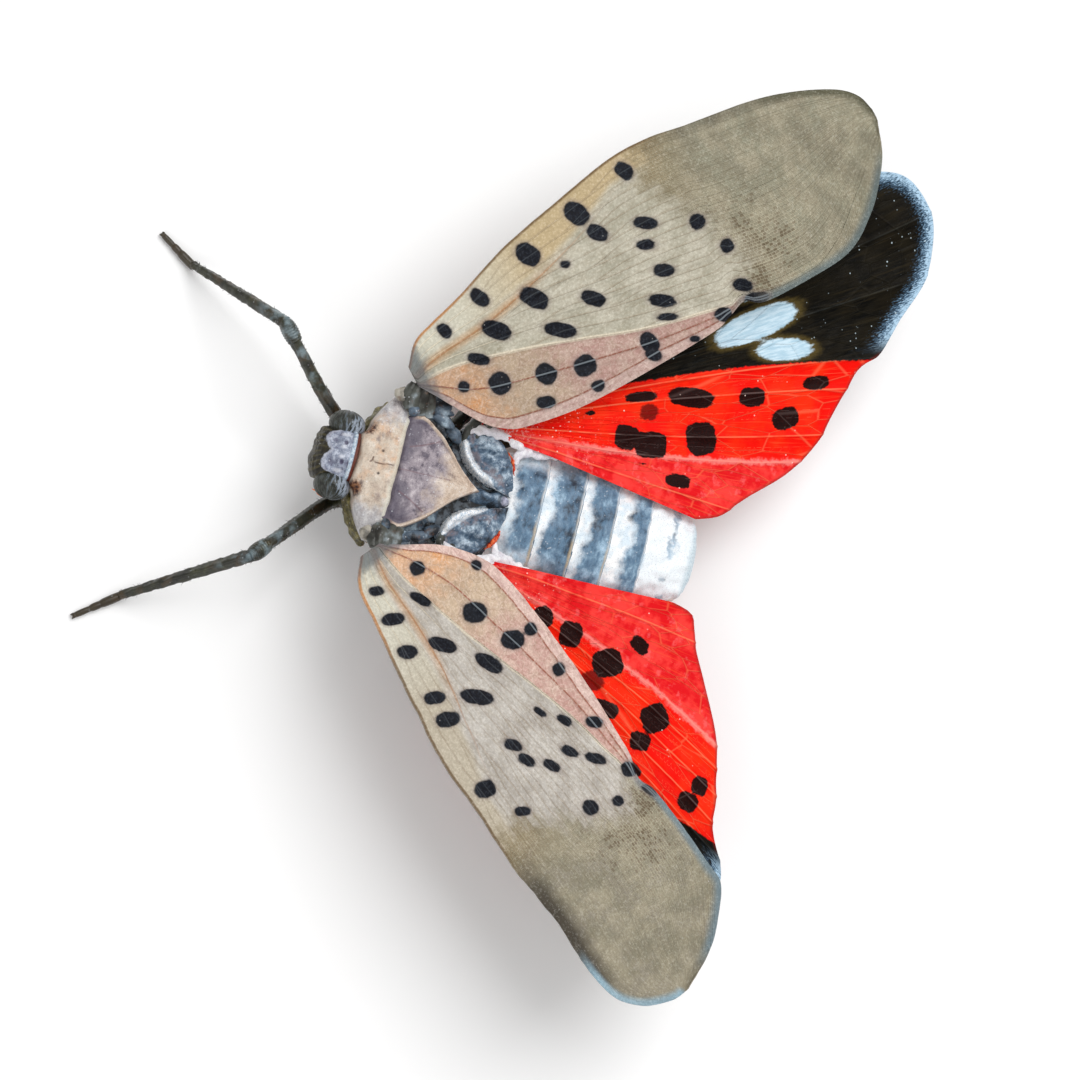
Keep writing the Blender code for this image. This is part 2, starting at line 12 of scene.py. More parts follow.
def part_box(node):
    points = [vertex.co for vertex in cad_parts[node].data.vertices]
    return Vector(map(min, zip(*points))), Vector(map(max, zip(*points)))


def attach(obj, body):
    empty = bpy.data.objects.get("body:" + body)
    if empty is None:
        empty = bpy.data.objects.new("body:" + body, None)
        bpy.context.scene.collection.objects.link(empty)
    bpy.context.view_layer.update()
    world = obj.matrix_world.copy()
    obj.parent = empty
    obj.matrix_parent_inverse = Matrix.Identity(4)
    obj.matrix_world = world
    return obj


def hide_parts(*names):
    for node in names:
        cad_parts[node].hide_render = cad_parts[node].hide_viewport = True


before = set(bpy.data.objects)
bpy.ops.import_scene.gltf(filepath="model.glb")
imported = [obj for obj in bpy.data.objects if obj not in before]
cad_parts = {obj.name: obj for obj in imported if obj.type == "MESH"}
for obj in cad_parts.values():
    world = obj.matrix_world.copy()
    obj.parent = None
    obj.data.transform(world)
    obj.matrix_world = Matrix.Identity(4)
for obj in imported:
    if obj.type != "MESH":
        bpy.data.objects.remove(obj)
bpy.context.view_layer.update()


# The studio: a pale floor under soft daylight, seen from above as the photo was taken.
# The animal's own lines are found again from its head and feet, which stand on the floor.
MM = 0.001
FEET_LEVEL = -5.4
HEAD_FRONT = -6.3
HEAD_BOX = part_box("head")
BODY_SHIFT = np.array([0.5 * (HEAD_BOX[0].x + HEAD_BOX[1].x) / MM, HEAD_BOX[0].y / MM - HEAD_FRONT,
    -FEET_LEVEL])
PHOTO_SIDE = 1080  # pixels
PHOTO_SCALE = 24.5  # pixels to a millimetre where the camera aims
CAMERA_DISTANCE = 127.2
CAMERA_LEAN = (11.09, -11.6)  # degrees towards the animal's left, and towards its head
CAMERA_ROLL = 15.86
CAMERA_AIM = (2.9, 2.115)  # where the middle of the picture falls, to the right and down
SENSOR = 36
FLOOR_SIDE = 4000
FLOOR_WHITE = 0.94
DAYLIGHT = 0.58
LAMPS = {  # place, size, and power in watts
    "key_lamp": ((-110, 60, 280), 230, 0.62),
    "fill_lamp": ((220, -160, 200), 220, 0.2),
}


def to_world(points):
    """Body millimetres as world metres."""
    return (np.asarray(points, dtype=float) + BODY_SHIFT) * MM


def build_camera():
    """The camera at the photo's place, as leans from straight overhead and a roll."""
    lean_left, lean_front = (math.sin(math.radians(lean)) for lean in CAMERA_LEAN)
    towards = Vector((lean_left, lean_front, math.sqrt(1 - lean_left ** 2 - lean_front ** 2)))
    tail = Vector((0, 1, 0))
    tail = (tail - towards * tail.dot(towards)).normalized()
    left = (-towards).cross(tail)
    roll = math.radians(CAMERA_ROLL)
    right = math.cos(roll) * tail - math.sin(roll) * left
    down = math.sin(roll) * tail + math.cos(roll) * left
    place = CAMERA_AIM[0] * right + CAMERA_AIM[1] * down + CAMERA_DISTANCE * towards
    data = bpy.data.cameras.new("camera")
    data.sensor_width = SENSOR
    data.lens = SENSOR * PHOTO_SCALE * CAMERA_DISTANCE / PHOTO_SIDE
    data.clip_start = 0.01
    data.clip_end = 10
    camera = bpy.data.objects.new("camera", data)
    turn = Matrix((right, -down, towards)).transposed().to_4x4()
    camera.matrix_world = Matrix.Translation(Vector(to_world(place))) @ turn
    bpy.context.scene.collection.objects.link(camera)
    bpy.context.scene.camera = camera


def build_lamp(name, place, size, power):
    """One square soft lamp, turned to the animal."""
    data = bpy.data.lights.new(name, "AREA")
    data.size = size * MM
    data.energy = power
    lamp = bpy.data.objects.new(name, data)
    lamp.location = Vector(place) * MM
    lamp.rotation_euler = (-lamp.location).to_track_quat("-Z", "Y").to_euler()
    bpy.context.scene.collection.objects.link(lamp)


build_camera()
for lamp_name, (lamp_place, lamp_size, lamp_power) in LAMPS.items():
    build_lamp(lamp_name, lamp_place, lamp_size, lamp_power)
daylight = bpy.data.worlds.new("daylight")
daylight.use_nodes = True
daylight.node_tree.nodes["Background"].inputs["Strength"].default_value = DAYLIGHT
daylight.node_tree.nodes["Background"].inputs["Color"].default_value = 1, 1, 1, 1
bpy.context.scene.world = daylight
bpy.context.scene.view_settings.view_transform = "Standard"
floor_mesh = bpy.data.meshes.new("floor")
reach = 0.5 * FLOOR_SIDE * MM
corners = [(-reach, -reach, 0), (reach, -reach, 0), (reach, reach, 0), (-reach, reach, 0)]
floor_mesh.from_pydata(corners, [], [(0, 1, 2, 3)])
floor_paint = bpy.data.materials.new("floor_paint")
floor_paint.use_nodes = True
floor_shader = floor_paint.node_tree.nodes["Principled BSDF"]
floor_shader.inputs["Base Color"].default_value = FLOOR_WHITE, FLOOR_WHITE, FLOOR_WHITE, 1
floor_shader.inputs["Roughness"].default_value = 0.9
floor_mesh.materials.append(floor_paint)
floor = bpy.data.objects.new("floor", floor_mesh)
bpy.context.scene.collection.objects.link(floor)


# The dark core: the soft membrane that joins the hard plates of head, thorax and abdomen.
# It shows only in the joints between the plates, as it does on the animal.
BODY_SIDES = 96
CORE_SECTIONS = [(-5.6, 0.7, -0.5, -1.7), (-4.8, 1, -0.25, -2.2), (-3.6, 1.9, -0.15, -2.5),
            (-2.8, 2.35, -0.25, -2.9), (-1.2, 2.4, -0.62, -3.2), (0.8, 2.2, -0.95, -3.3),
            (2.4, 1.9, -1.1, -3.4)]


def srgb(red, green, blue):
    """A colour as read off a screen, 0 to 255, in linear light."""
    shares = [channel / 255 for channel in (red, green, blue)]
    linear = [s / 12.92 if s <= 0.04045 else ((s + 0.055) / 1.055) ** 2.4 for s in shares]
    return *linear, 1


class Wire:
    """A shader node's output. Sums and products with it add nodes to the finish being wired."""
    tree = None

    def __init__(self, socket):
        self.socket = socket

    def __add__(self, other):
        return maths("ADD", self, other)

    def __sub__(self, other):
        return maths("SUBTRACT", self, other)

    def __rsub__(self, other):
        return maths("SUBTRACT", other, self)

    def __mul__(self, other):
        return maths("MULTIPLY", self, other)

    def __truediv__(self, other):
        return maths("DIVIDE", self, other)

    def __abs__(self):
        return maths("ABSOLUTE", self)


def feed(socket, value):
    """Link a wire to a socket, or set the socket; three numbers for a colour are as read off a screen."""
    if isinstance(value, Wire):
        Wire.tree.links.new(value.socket, socket)
    elif socket.type == "RGBA":
        socket.default_value = srgb(*value)
    else:
        socket.default_value = value


def node(kind, feeds=None, output=0, **settings):
    """The output of a new node, with its settings and what feeds it."""
    made = Wire.tree.nodes.new("ShaderNode" + kind)
    for name, value in settings.items():
        setattr(made, name, value)
    for name, value in (feeds or {}).items():
        feed(made.inputs[name], value)
    return Wire(made.outputs[output])


def maths(operation, *values):
    """Arithmetic on numbers, or on three numbers at once where any value has three."""
    three = any(v.socket.type == "VECTOR" if isinstance(v, Wire) else isinstance(v, tuple) for v in values)
    return node("VectorMath" if three else "Math", dict(enumerate(values)), operation=operation)


def step(value, start, end, low=0, high=1):
    """A soft step from low at start to high at end."""
    return node("MapRange", {0: value, 1: start, 2: end, 3: low, 4: high}, interpolation_type="SMOOTHSTEP")


def mix(share, first, second):
    return node("Mix", {0: share, 6: first, 7: second}, 2, data_type="RGBA")


def noise(place, size, detail=3, rough=0.55):
    """Cloudy values about 0.5, with lumps of the given size in millimetres."""
    return node("TexNoise", {"Vector": place, "Scale": 1 / size, "Detail": detail, "Roughness": rough})


def body_place():
    """Where a point is on the animal, in millimetres."""
    return node("TexCoord", output="Object") * (1000, 1000, 1000) - tuple(BODY_SHIFT)


def new_finish(name, roughness=0.5, shine=0.3, coat=0):
    """A material and its shader, ready to be wired."""
    material = bpy.data.materials.new(name)
    material.use_nodes = True
    Wire.tree = material.node_tree
    shader = material.node_tree.nodes["Principled BSDF"]
    shader.inputs["Roughness"].default_value = roughness
    shader.inputs["Specular IOR Level"].default_value = shine
    shader.inputs["Coat Weight"].default_value = coat
    return material, shader


def raise_relief(shader, height, depth, strength=1):
    """Feed a height, in units of depth millimetres, to the shader as bump."""
    bump = node("Bump", {"Height": height, "Distance": depth * MM, "Strength": strength})
    feed(shader.inputs["Normal"], bump)


def smooth_line(points, steps=12):
    """Closely spaced points on a smooth curve through the given ones."""
    p = np.array(points, dtype=float)
    p = np.vstack([2 * p[0] - p[1], p, 2 * p[-1] - p[-2]])
    dense = []
    for i in range(1, len(p) - 2):
        for k in range(steps):
            t = k / steps
            dense.append(0.5 * (2 * p[i] + (p[i + 1] - p[i - 1]) * t
                + (2 * p[i - 1] - 5 * p[i] + 4 * p[i + 1] - p[i + 2]) * t ** 2
                + (3 * p[i] - p[i - 1] - 3 * p[i + 1] + p[i + 2]) * t ** 3))
    dense.append(p[-2])
    return np.array(dense)


def grid_faces(rows, columns, closed=True):
    """Quads over a grid of points, joined round its columns when closed."""
    i, j = np.meshgrid(np.arange(rows - 1), np.arange(columns if closed else columns - 1), indexing="ij")
    k = (j + 1) % columns
    quads = np.stack([i * columns + j, i * columns + k, (i + 1) * columns + k, (i + 1) * columns + j],
        axis=-1)
    return quads.reshape(-1, 4).tolist()


def closed_body(grid):
    """Points and faces of a body through rings of points, each end closed by a fan."""
    rows, columns = grid.shape[:2]
    points = grid.reshape(-1, 3)
    faces = grid_faces(rows, columns)
    ends = []
    for i in (0, rows - 1):
        middle = len(points) + len(ends)
        ends.append(grid[i].mean(axis=0))
        faces += [(middle, i * columns + j, i * columns + (j + 1) % columns) for j in range(columns)]
    return np.vstack([points, ends]), faces


def add_piece(name, shape, material, replaced=(), fields=None):
    """A smooth mesh piece that rides on the animal's body."""
    points, faces = shape
    mesh = bpy.data.meshes.new(name)
    mesh.from_pydata(to_world(points).tolist(), [], faces)
    solid = bmesh.new()
    solid.from_mesh(mesh)
    bmesh.ops.recalc_face_normals(solid, faces=solid.faces)
    solid.to_mesh(mesh)
    solid.free()
    mesh.shade_smooth()
    for field, values in (fields or {}).items():
        layer = mesh.attributes.new(field, "FLOAT_VECTOR", "POINT")
        layer.data.foreach_set("vector", np.asarray(values, dtype=np.float32).ravel())
    mesh.materials.append(material)
    piece = bpy.data.objects.new(name, mesh)
    bpy.context.scene.collection.objects.link(piece)
    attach(piece, "root")
    if replaced:
        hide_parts(*replaced)


def oval_ring(half_width, top, bottom, squareness):
    """An oval outline as (across, up), widest in its upper half."""
    middle = bottom + 0.6 * (top - bottom)
    turn = 2 * np.pi * np.arange(BODY_SIDES) / BODY_SIDES
    across = np.sign(np.cos(turn)) * np.abs(np.cos(turn)) ** squareness
    up = np.sign(np.sin(turn)) * np.abs(np.sin(turn)) ** squareness
    height = middle + np.where(up > 0, top - middle, middle - bottom) * up
    return np.stack([half_width * across, height], axis=1)


def body_grid(sections, steps=10, squareness=0.9):
    """Rings along the body through (y, half width, top, bottom) sections."""
    rings = []
    for y, half_width, top, bottom in smooth_line(sections, steps):
        ring = oval_ring(half_width, top, bottom, squareness)
        rings.append(np.column_stack([ring[:, 0], np.full(len(ring), y), ring[:, 1]]))
    return np.array(rings)


def grid_normals(grid):
    """Outward unit normals of a closed ring grid."""
    around = np.roll(grid, -1, axis=1) - np.roll(grid, 1, axis=1)
    along = np.gradient(grid, axis=0)
    normal = np.cross(around, along)
    normal /= np.maximum(np.linalg.norm(normal, axis=2, keepdims=True), 1e-09)
    outward = grid - grid.mean(axis=1, keepdims=True)
    flip = np.sign((normal * outward).sum(axis=2).mean())
    return normal * flip


def lifted(grid, height):
    """A ring grid raised along its normals by a height at each point."""
    return grid + grid_normals(grid) * height[..., None]


def lumps(points, size, seed):
    """Smooth uneven values about zero over points, with lumps of about the given size."""
    draw = np.random.RandomState(seed)
    total = np.zeros(points.shape[:-1])
    for _ in range(9):
        wave = draw.normal(size=3)
        wave *= 2 * np.pi / (size * np.linalg.norm(wave)) * draw.uniform(0.6, 1.5)
        total += np.sin(points @ wave + draw.uniform(0, 2 * np.pi))
    return total / 3


core_finish, shader = new_finish("joint_membrane", 0.55)
here = body_place()
mottle = noise(here, 0.25, 5)
feed(shader.inputs["Base Color"], mix(step(mottle, 0.4, 0.65), (38, 38, 40), (96, 104, 112)))
raise_relief(shader, mottle, 0.05)
core = body_grid(CORE_SECTIONS)
core = lifted(core, 0.03 * lumps(core, 0.5, 3))
add_piece("joint_core", closed_body(core), core_finish)


# The head: a short broad capsule of hard plate, its lilac crown dusted with wax and edged by a
# W-shaped ridge, and the ribbed olive face below it. Eyes, feelers and beak are set into it.
HEAD_SECTIONS = [(-6.42, 0.5, -0.95, -1.5), (-6.36, 0.86, -0.66, -1.85), (-6.18, 1.06, -0.38, -2.15),
            (-5.8, 1.12, -0.1, -2.45), (-5.4, 1.12, 0.06, -2.52), (-5.05, 1.14, 0.14, -2.35),
            (-4.8, 1.1, 0.1, -2.2)]
CROWN_EDGE = [(0, -5.84), (0.07, -5.88), (0.18, -6), (0.32, -6.07), (0.52, -6.1), (0.7, -6.03), (0.8, -5.9),
              (0.86, -5.7), (0.92, -5.45), (1.02, -5.15), (1.2, -4.9)]
CROWN_HEM = -4.99
PLATE_RELIEF = 0.018
EYE_CENTRE = (1.3, -5.4, -0.74)
EYE_RADII = (0.58, 0.76, 0.66)


def split(vector):
    made = node("SeparateXYZ", {0: vector}).socket.node
    return [Wire(socket) for socket in made.outputs]


def joined(x, y, z=0):
    return node("CombineXYZ", {0: x, 1: y, 2: z})


def cells(place, size, feature="F1", jitter=1):
    return node("TexVoronoi", {"Vector": place, "Scale": 1 / size, "Randomness": jitter}, feature=feature)


def carried(name):
    """The three values that the mesh carries at each point under a name."""
    return split(node("Attribute", output="Vector", attribute_name=name, attribute_type="GEOMETRY"))


def layered(colour, *layers):
    """A colour under layers of paint, each a share and its paint, from the lowest up."""
    for share, paint in layers:
        colour = mix(share, colour, paint)
    return colour


def join_shapes(shapes):
    """Several (points, faces) as one."""
    points = []
    faces = []
    count = 0
    for shape_points, shape_faces in shapes:
        points.append(np.asarray(shape_points, dtype=float))
        faces += [tuple(count + v for v in face) for face in shape_faces]
        count += len(shape_points)
    return np.vstack(points), faces


def bell(value, width):
    """One at zero, falling away smoothly over a width."""
    return np.exp(-(value / width) ** 2)


def stacked(*values):
    return np.stack(values, axis=-1)


def bump_at(x, y, centre, radii):
    """A smooth round bump of height one."""
    return np.exp(-((x - centre[0]) / radii[0]) ** 2 - ((y - centre[1]) / radii[1]) ** 2)


def edge_distance(x, y, outline):
    """Distance from each point to an open outline of close points."""
    least = np.full(x.shape, 99)
    for px, py in outline:
        least = np.minimum(least, (x - px) ** 2 + (y - py) ** 2)
    return np.sqrt(least)


def line_distance(x, y, points):
    """Distance to a smooth open line."""
    return edge_distance(x, y, smooth_line(points, 16))


def with_ends(values):
    """A ring grid's field with a value for the two end fans' middle points."""
    flat = values.reshape(-1, 3)
    return np.vstack([flat, values[0].mean(axis=0), values[-1].mean(axis=0)])


def ellipsoid_grid(centre, radii, rows=24, sides=36):
    """Rings of a closed ellipsoid, pole to pole."""
    polar = np.linspace(0.06, np.pi - 0.06, rows)[:, None]
    turn = (2 * np.pi * np.arange(sides) / sides)[None, :]
    ball = stacked(np.sin(polar) * np.cos(turn), np.sin(polar) * np.sin(turn),
        -np.cos(polar) * np.ones_like(turn))
    return np.array(centre) + ball * np.array(radii)


def tube_grid(path, radii, sides=20, steps=10, flat=1):
    """Rings of a limb along a smooth path; flat squeezes it across its second axis."""
    line = smooth_line(path, steps)
    size = smooth_line(np.array(radii)[:, None], steps)[:, 0]
    along = np.gradient(line, axis=0)
    along /= np.linalg.norm(along, axis=1, keepdims=True)
    across = np.cross(along, (0, 0, 1))
    across /= np.maximum(np.linalg.norm(across, axis=1, keepdims=True), 1e-06)
    up = np.cross(across, along)
    turn = 2 * np.pi * np.arange(sides) / sides
    return line[:, None] + size[:, None, None] * (np.cos(turn)[None, :, None] * across[:, None] * flat
        + np.sin(turn)[None, :, None] * up[:, None])


def shared_effect(name, inputs, outputs, wiring):
    """A node group with named inputs and outputs, and the wiring between them."""
    group = bpy.data.node_groups.new(name, "ShaderNodeTree")
    for way, sockets in (("INPUT", inputs), ("OUTPUT", outputs)):
        for label, kind in sockets.items():
            group.interface.new_socket(label, in_out=way, socket_type="NodeSocket" + kind)
    Wire.tree = group
    given = group.nodes.new("NodeGroupInput").outputs[:len(inputs)]
    results = wiring(*(Wire(socket) for socket in given))
    for socket, value in zip(group.nodes.new("NodeGroupOutput").inputs, results):
        feed(socket, value)
    return group


def wax_bloom_wiring(place, amount, patch):
    """The pale powder that the animal sweats out: a patchy dusting and separate flecks."""
    patches = noise(place / joined(patch, patch, patch), 1, 5, 0.62)
    level = (noise(place, 0.035, 3, 0.7) - 0.5) * 0.35 + patches
    start = amount * -0.5 + 0.78
    flecks = step(cells(place, 0.16), 0.26, 0.12) * step(noise(place, 0.5, 2), 0.5, 0.62)
    return step(level, start, start + 0.16), flecks


def mottle_wiring(place, blotch, shift, dark, middle, pale):
    """Blotches of three tones, dark, middle and pale, broken up by a finer grain."""
    shrunk = place / joined(blotch, blotch, blotch)
    tone = (noise(shrunk, 0.22, 4, 0.68) - 0.5) * 0.42 + noise(shrunk, 1, 4, 0.62) + shift
    colour = mix(step(tone, 0.32, 0.52), dark, middle)
    return mix(step(tone, 0.5, 0.76), colour, pale), tone


def use_group(group, **values):
    """One instance of a shared effect with its own values, by the names of its inputs."""
    made = Wire.tree.nodes.new("ShaderNodeGroup")
    made.node_tree = group
    for name, value in values.items():
        feed(made.inputs[name.replace("_", " ").title()], value)
    return [Wire(socket) for socket in made.outputs]


def mottled(place, blotch, shift, dark, middle, pale):
    """The mottle effect's colour and tone."""
    return use_group(mottle, place=place, blotch=blotch, shift=shift, dark=dark, middle=middle, pale=pale)


wax_bloom = shared_effect("wax_bloom", {"Place": "Vector", "Amount": "Float", "Patch Size": "Float"},
    {"Dust": "Float", "Flecks": "Float"}, wax_bloom_wiring)
mottle = shared_effect("mottle", {"Place": "Vector", "Blotch": "Float", "Shift": "Float", "Dark": "Color",
    "Middle": "Color", "Pale": "Color"}, {"Colour": "Color", "Tone": "Float"}, mottle_wiring)


def plate_surface(shader, colour, here, wax_colour, amount, patch, specks=0.45):
    """The common end of every hard plate: wax over its colour, fine grain and relief."""
    dust, flecks = use_group(wax_bloom, place=here, amount=amount, patch_size=patch)
    grain = noise(here, 0.05, 4, 0.7)
    colour = layered(colour,
        (step(grain, 0.3, 0.5, 0.4, 0), (34, 32, 36)),
        (dust * 0.7, wax_colour),
        (flecks * specks, (240, 243, 248)))
    feed(shader.inputs["Base Color"], colour)
    feed(shader.inputs["Roughness"], step(dust, 0, 1, 0.38, 0.75))
    raise_relief(shader, flecks * 0.6 + (dust * 0.5 + grain), PLATE_RELIEF)


def head_finish():
    """Lilac crown, pale hem and dark ribbed face, told apart by the crown's edge."""
    material, shader = new_finish("head_plate", 0.5)
    here = body_place()
    crown, hem, ribs = carried("marks")
    behind = split(here)[1] - CROWN_HEM
    edge = (noise(here, 0.2) - 0.5) * 0.14 + crown
    lilac, _ = mottled(here, 0.26, 0.02, (84, 82, 102), (140, 147, 165), (206, 212, 224))
    dents, swells, _ = carried("folds")
    face, _ = mottled(here, 0.3, 0, (16, 14, 9), (36, 32, 20), (70, 64, 42))
    # painted shade in the crown's dents and painted highlight on its swellings
    lilac = layered(lilac,
        (step(dents, 0.2, 0.8, 0, 0.8), (58, 48, 78)),
        (step(swells, 0.3, 0.9, 0, 0.6), (226, 228, 236)))
    face = mix(step(ribs, 0.5, 0.95, 0, 0.35), face, (104, 96, 62))
    colour = mix(step(edge, -0.05, 0.03), face, lilac)
    # painted highlight along the crown's raised W-shaped edge
    ridge = step(abs(edge - 0.05), 0.09, 0.02)
    fine = noise(here, 0.12, 3, 0.6)
    pale = mix(step(fine, 0.4, 0.6), (150, 172, 192), (214, 226, 234))
    ragged = (fine - 0.5) * 0.12 + hem
    colour = layered(colour,
        (ridge * 0.35, (190, 190, 198)),
        (step(ragged, 0.12, 0.06, 0, 0.85), pale),
        (step(behind, 0.05, 0.09), (96, 44, 30)))
    plate_surface(shader, colour, here, (196, 206, 222), 0.25, 0.3)
    return material


def build_head():
    """The capsule with its crown, hem, face ribs and the lower bulge of its face."""
    head = body_grid(HEAD_SECTIONS, 26, squareness=0.85)
    x, y, z = head[..., 0], head[..., 1], head[..., 2]
    aside = np.abs(x)
    edge = smooth_line(CROWN_EDGE, 16)
    crown = y - np.interp(aside, edge[:, 0], edge[:, 1])
    crown = np.where(z > -1, crown, -np.abs(crown) - 0.2)
    hem = np.abs(y - CROWN_HEM) + np.where(z > -1.2, 0, 1)
    turn = np.arctan2(x, -(y + 4.6)) + 0.06 * np.sin(2 * z)
    ribs = 0.5 + 0.5 * np.cos(44 * turn + 1.5 * np.sin(5 * turn))
    in_face = 1 / (1 + np.exp(np.clip(crown / 0.03, -30, 30)))
    on_crown = 1 - in_face
    rim = line_distance(aside, y, CROWN_EDGE)
    relief = 0.05 * bell(rim, 0.08) + 0.035 * bell(hem, 0.06)
    relief -= 0.05 * bell(y - CROWN_HEM + 0.16, 0.07) * on_crown
    relief += 0.03 * in_face * ribs
    relief -= on_crown * 0.14 * bump_at(aside, y, (0.5, -5.76), (0.22, 0.24))
    relief += on_crown * (0.12 * bump_at(aside, y, (0.34, -5.38), (0.24, 0.17))
        - 0.16 * bump_at(aside, y, (0.4, -5.34), (0.09, 0.08)))
    relief -= on_crown * 0.05 * bump_at(x, y, (0, -5.35), (0.05, 0.3))
    relief += 0.018 * lumps(head, 0.3, 5) + 0.006 * lumps(head, 0.12, 8)
    head = lifted(head, relief)
    # dents and swells: where the crown is given painted shade and painted highlight
    dents = bump_at(aside, y, (0.4, -5.34), (0.12, 0.1)) + 0.6 * bump_at(aside, y, (0.5, -5.8), (0.2, 0.2))
    swells = bump_at(aside, y, (0.2, -5.4), (0.1, 0.16)) + bump_at(aside, y, (0.75, -5.4), (0.1, 0.25))
    fields = [with_ends(stacked(crown, hem, ribs * in_face))]
    folds = with_ends(stacked(dents, swells, 0 * x))
    shapes = [closed_body(head)]
    chin = ellipsoid_grid((0, -5.95, -2.35), (0.55, 0.45, 0.75))
    chin = lifted(chin, 0.02 * lumps(chin, 0.4, 6))
    shapes.append(closed_body(chin))
    fields.append(np.tile((-1, 1, 0.2), (len(shapes[-1][0]), 1)))
    folds = np.vstack([folds, np.zeros((len(shapes[-1][0]), 3))])
    add_piece("head_capsule", join_shapes(shapes), head_finish(), ("head",),
        {"marks": np.vstack(fields), "folds": folds})


build_head()


# The compound eyes: domes of many small lenses at the head's sides, dark olive, with a painted shine
# of grey-blue streaks that run over the dome from a pale painted patch at its inner hind rim.
def held(value):
    """A value held between nought and one."""
    return np.clip(value, 0, 1)


def eye_finish():
    """Lenses over a dark ground with streaks of pale painted shine across the dome."""
    material, shader = new_finish("eye_lenses", 0.3, coat=0.3)
    here = body_place()
    out, turn, hind = carried("marks")
    across = joined(turn * 1.3, out * 0.3)
    streak = noise(across, 0.2, 3, 0.6)
    colour = mix(step(streak, 0.38, 0.58), (20, 22, 16), (62, 66, 56))
    # painted shine: pale grey-blue streaks, paler and stronger towards the inner hind rim
    near = step(hind, 0.1, 0.85)
    streak = near * 0.12 + streak
    shine = step(streak, 0.5, 0.64) * step(hind, -0.7, 0.5)
    pale = mix(near, (104, 118, 136), (186, 198, 214))
    lenses = cells(here, 0.05, "DISTANCE_TO_EDGE", jitter=0.35)
    colour = layered(colour,
        (shine * 0.9, pale),
        (step(lenses, 0.12, 0, 0, 0.5), (18, 18, 18)))
    feed(shader.inputs["Base Color"], colour)
    raise_relief(shader, step(lenses, 0, 0.3), 0.02, 0.7)
    return material


def build_eye(side, suffix, finish):
    """One dome, faintly furrowed along its streaks."""
    ball = ellipsoid_grid((0, 0, 0), (1, 1, 1), 60, 72)
    turn = np.arctan2(ball[..., 2], ball[..., 1])
    # hind: how far towards the inner hind rim, where the painted shine gathers
    hind = 0.8 * ball[..., 1] + 0.35 * ball[..., 2] - 0.3 * side * ball[..., 0]
    marks = stacked(side * ball[..., 0], turn, hind)
    grid = np.array(EYE_CENTRE) * (side, 1, 1) + ball * np.array(EYE_RADII)
    grid = lifted(grid, 0.018 * np.cos(22 * turn) * held(side * ball[..., 0]))
    add_piece("compound_eye_" + suffix, closed_body(grid), finish, ("eye_" + suffix,),
        {"marks": with_ends(marks)})


eye_material = eye_finish()
build_eye(1, "left", eye_material)
build_eye(-1, "right", eye_material)


# The feelers: a swollen orange base, pimpled all over, and one thin bristle; and the jointed beak
# that lies back under the thorax between the legs.
feeler_finish, shader = new_finish("feeler_orange", 0.45)
here = body_place()
pimples = cells(here, 0.1)
cloud = noise(here, 0.2)
colour = mix(step(cloud, 0.35, 0.65), (214, 92, 20), (236, 132, 40))
colour = mix(step(pimples, 0.32, 0.18, 0, 0.7), colour, (250, 206, 150))
feed(shader.inputs["Base Color"], colour)
raise_relief(shader, step(pimples, 0.45, 0.1), 0.04)
for side, suffix in ((1, "left"), (-1, "right")):
    base = ellipsoid_grid((side * 1.2, -5.4, -1.85), (0.2, 0.2, 0.16), 12, 20)
    bulb = ellipsoid_grid((side * 1.32, -5.5, -2), (0.3, 0.3, 0.3), 28, 40)
    bulb = lifted(bulb, 0.02 * lumps(bulb, 0.14, 7))
    bristle = tube_grid([(side * 1.36, -5.7, -2.1), (side * 1.37, -5.78, -2.24), (side * 1.35, -5.84, -2.4),
        (side * 1.3, -5.9, -2.58)], (0.08, 0.05, 0.03, 0.012), 10, 8)
    add_piece("feeler_" + suffix, join_shapes([closed_body(base), closed_body(bulb), closed_body(bristle)]),
        feeler_finish, ("antenna_" + suffix,))


def leg_finish():
    """Dark olive horn with pale marks, blue-white wax and painted glint on the thighs, and browner claws."""
    material, shader = new_finish("limb_horn", 0.42, coat=0.35)
    here = body_place()
    z = split(here)[2]
    colour, _ = mottled(here, 1.1, 0, (20, 20, 12), (40, 41, 26), (72, 73, 50))
    brown = noise(here, 0.8)
    high = step(z, -2.4, -1.5)
    # blue-white on the highest parts of the legs: partly wax, partly a painted glint
    wax_and_glint = high * step(noise(here, 0.7, 3, 0.55), 0.46, 0.66)
    low = step(z, -4.6, -5)
    colour = layered(colour,
        (step(brown, 0.5, 0.66, 0, 0.6), (74, 58, 38)),
        (wax_and_glint * 0.6, (140, 160, 168)),
        (low * 0.6, (58, 44, 26)))
    plate_surface(shader, colour, here, (150, 158, 150), 0.02, 0.25, specks=0.2)
    return material


limb_finish = leg_finish()
beak = tube_grid([(0, -5.95, -2.8), (0, -5.4, -3.1), (0, -4.6, -3.35), (0, -3.4, -3.75), (0, -2.2, -3.98),
    (0, -1.2, -4.1)], (0.3, 0.28, 0.25, 0.22, 0.18, 0.06), 28, 14, flat=1.1)
share = np.linspace(0, 1, len(beak))[:, None]
rings_worn = -0.04 * (bell(share - 0.3, 0.012) + bell(share - 0.66, 0.012))
groove = -0.06 * bell(np.arange(28)[None, :] - 21, 1.6)
beak = lifted(beak, rings_worn + groove)
add_piece("beak_sheath", closed_body(beak), limb_finish, ("beak",))


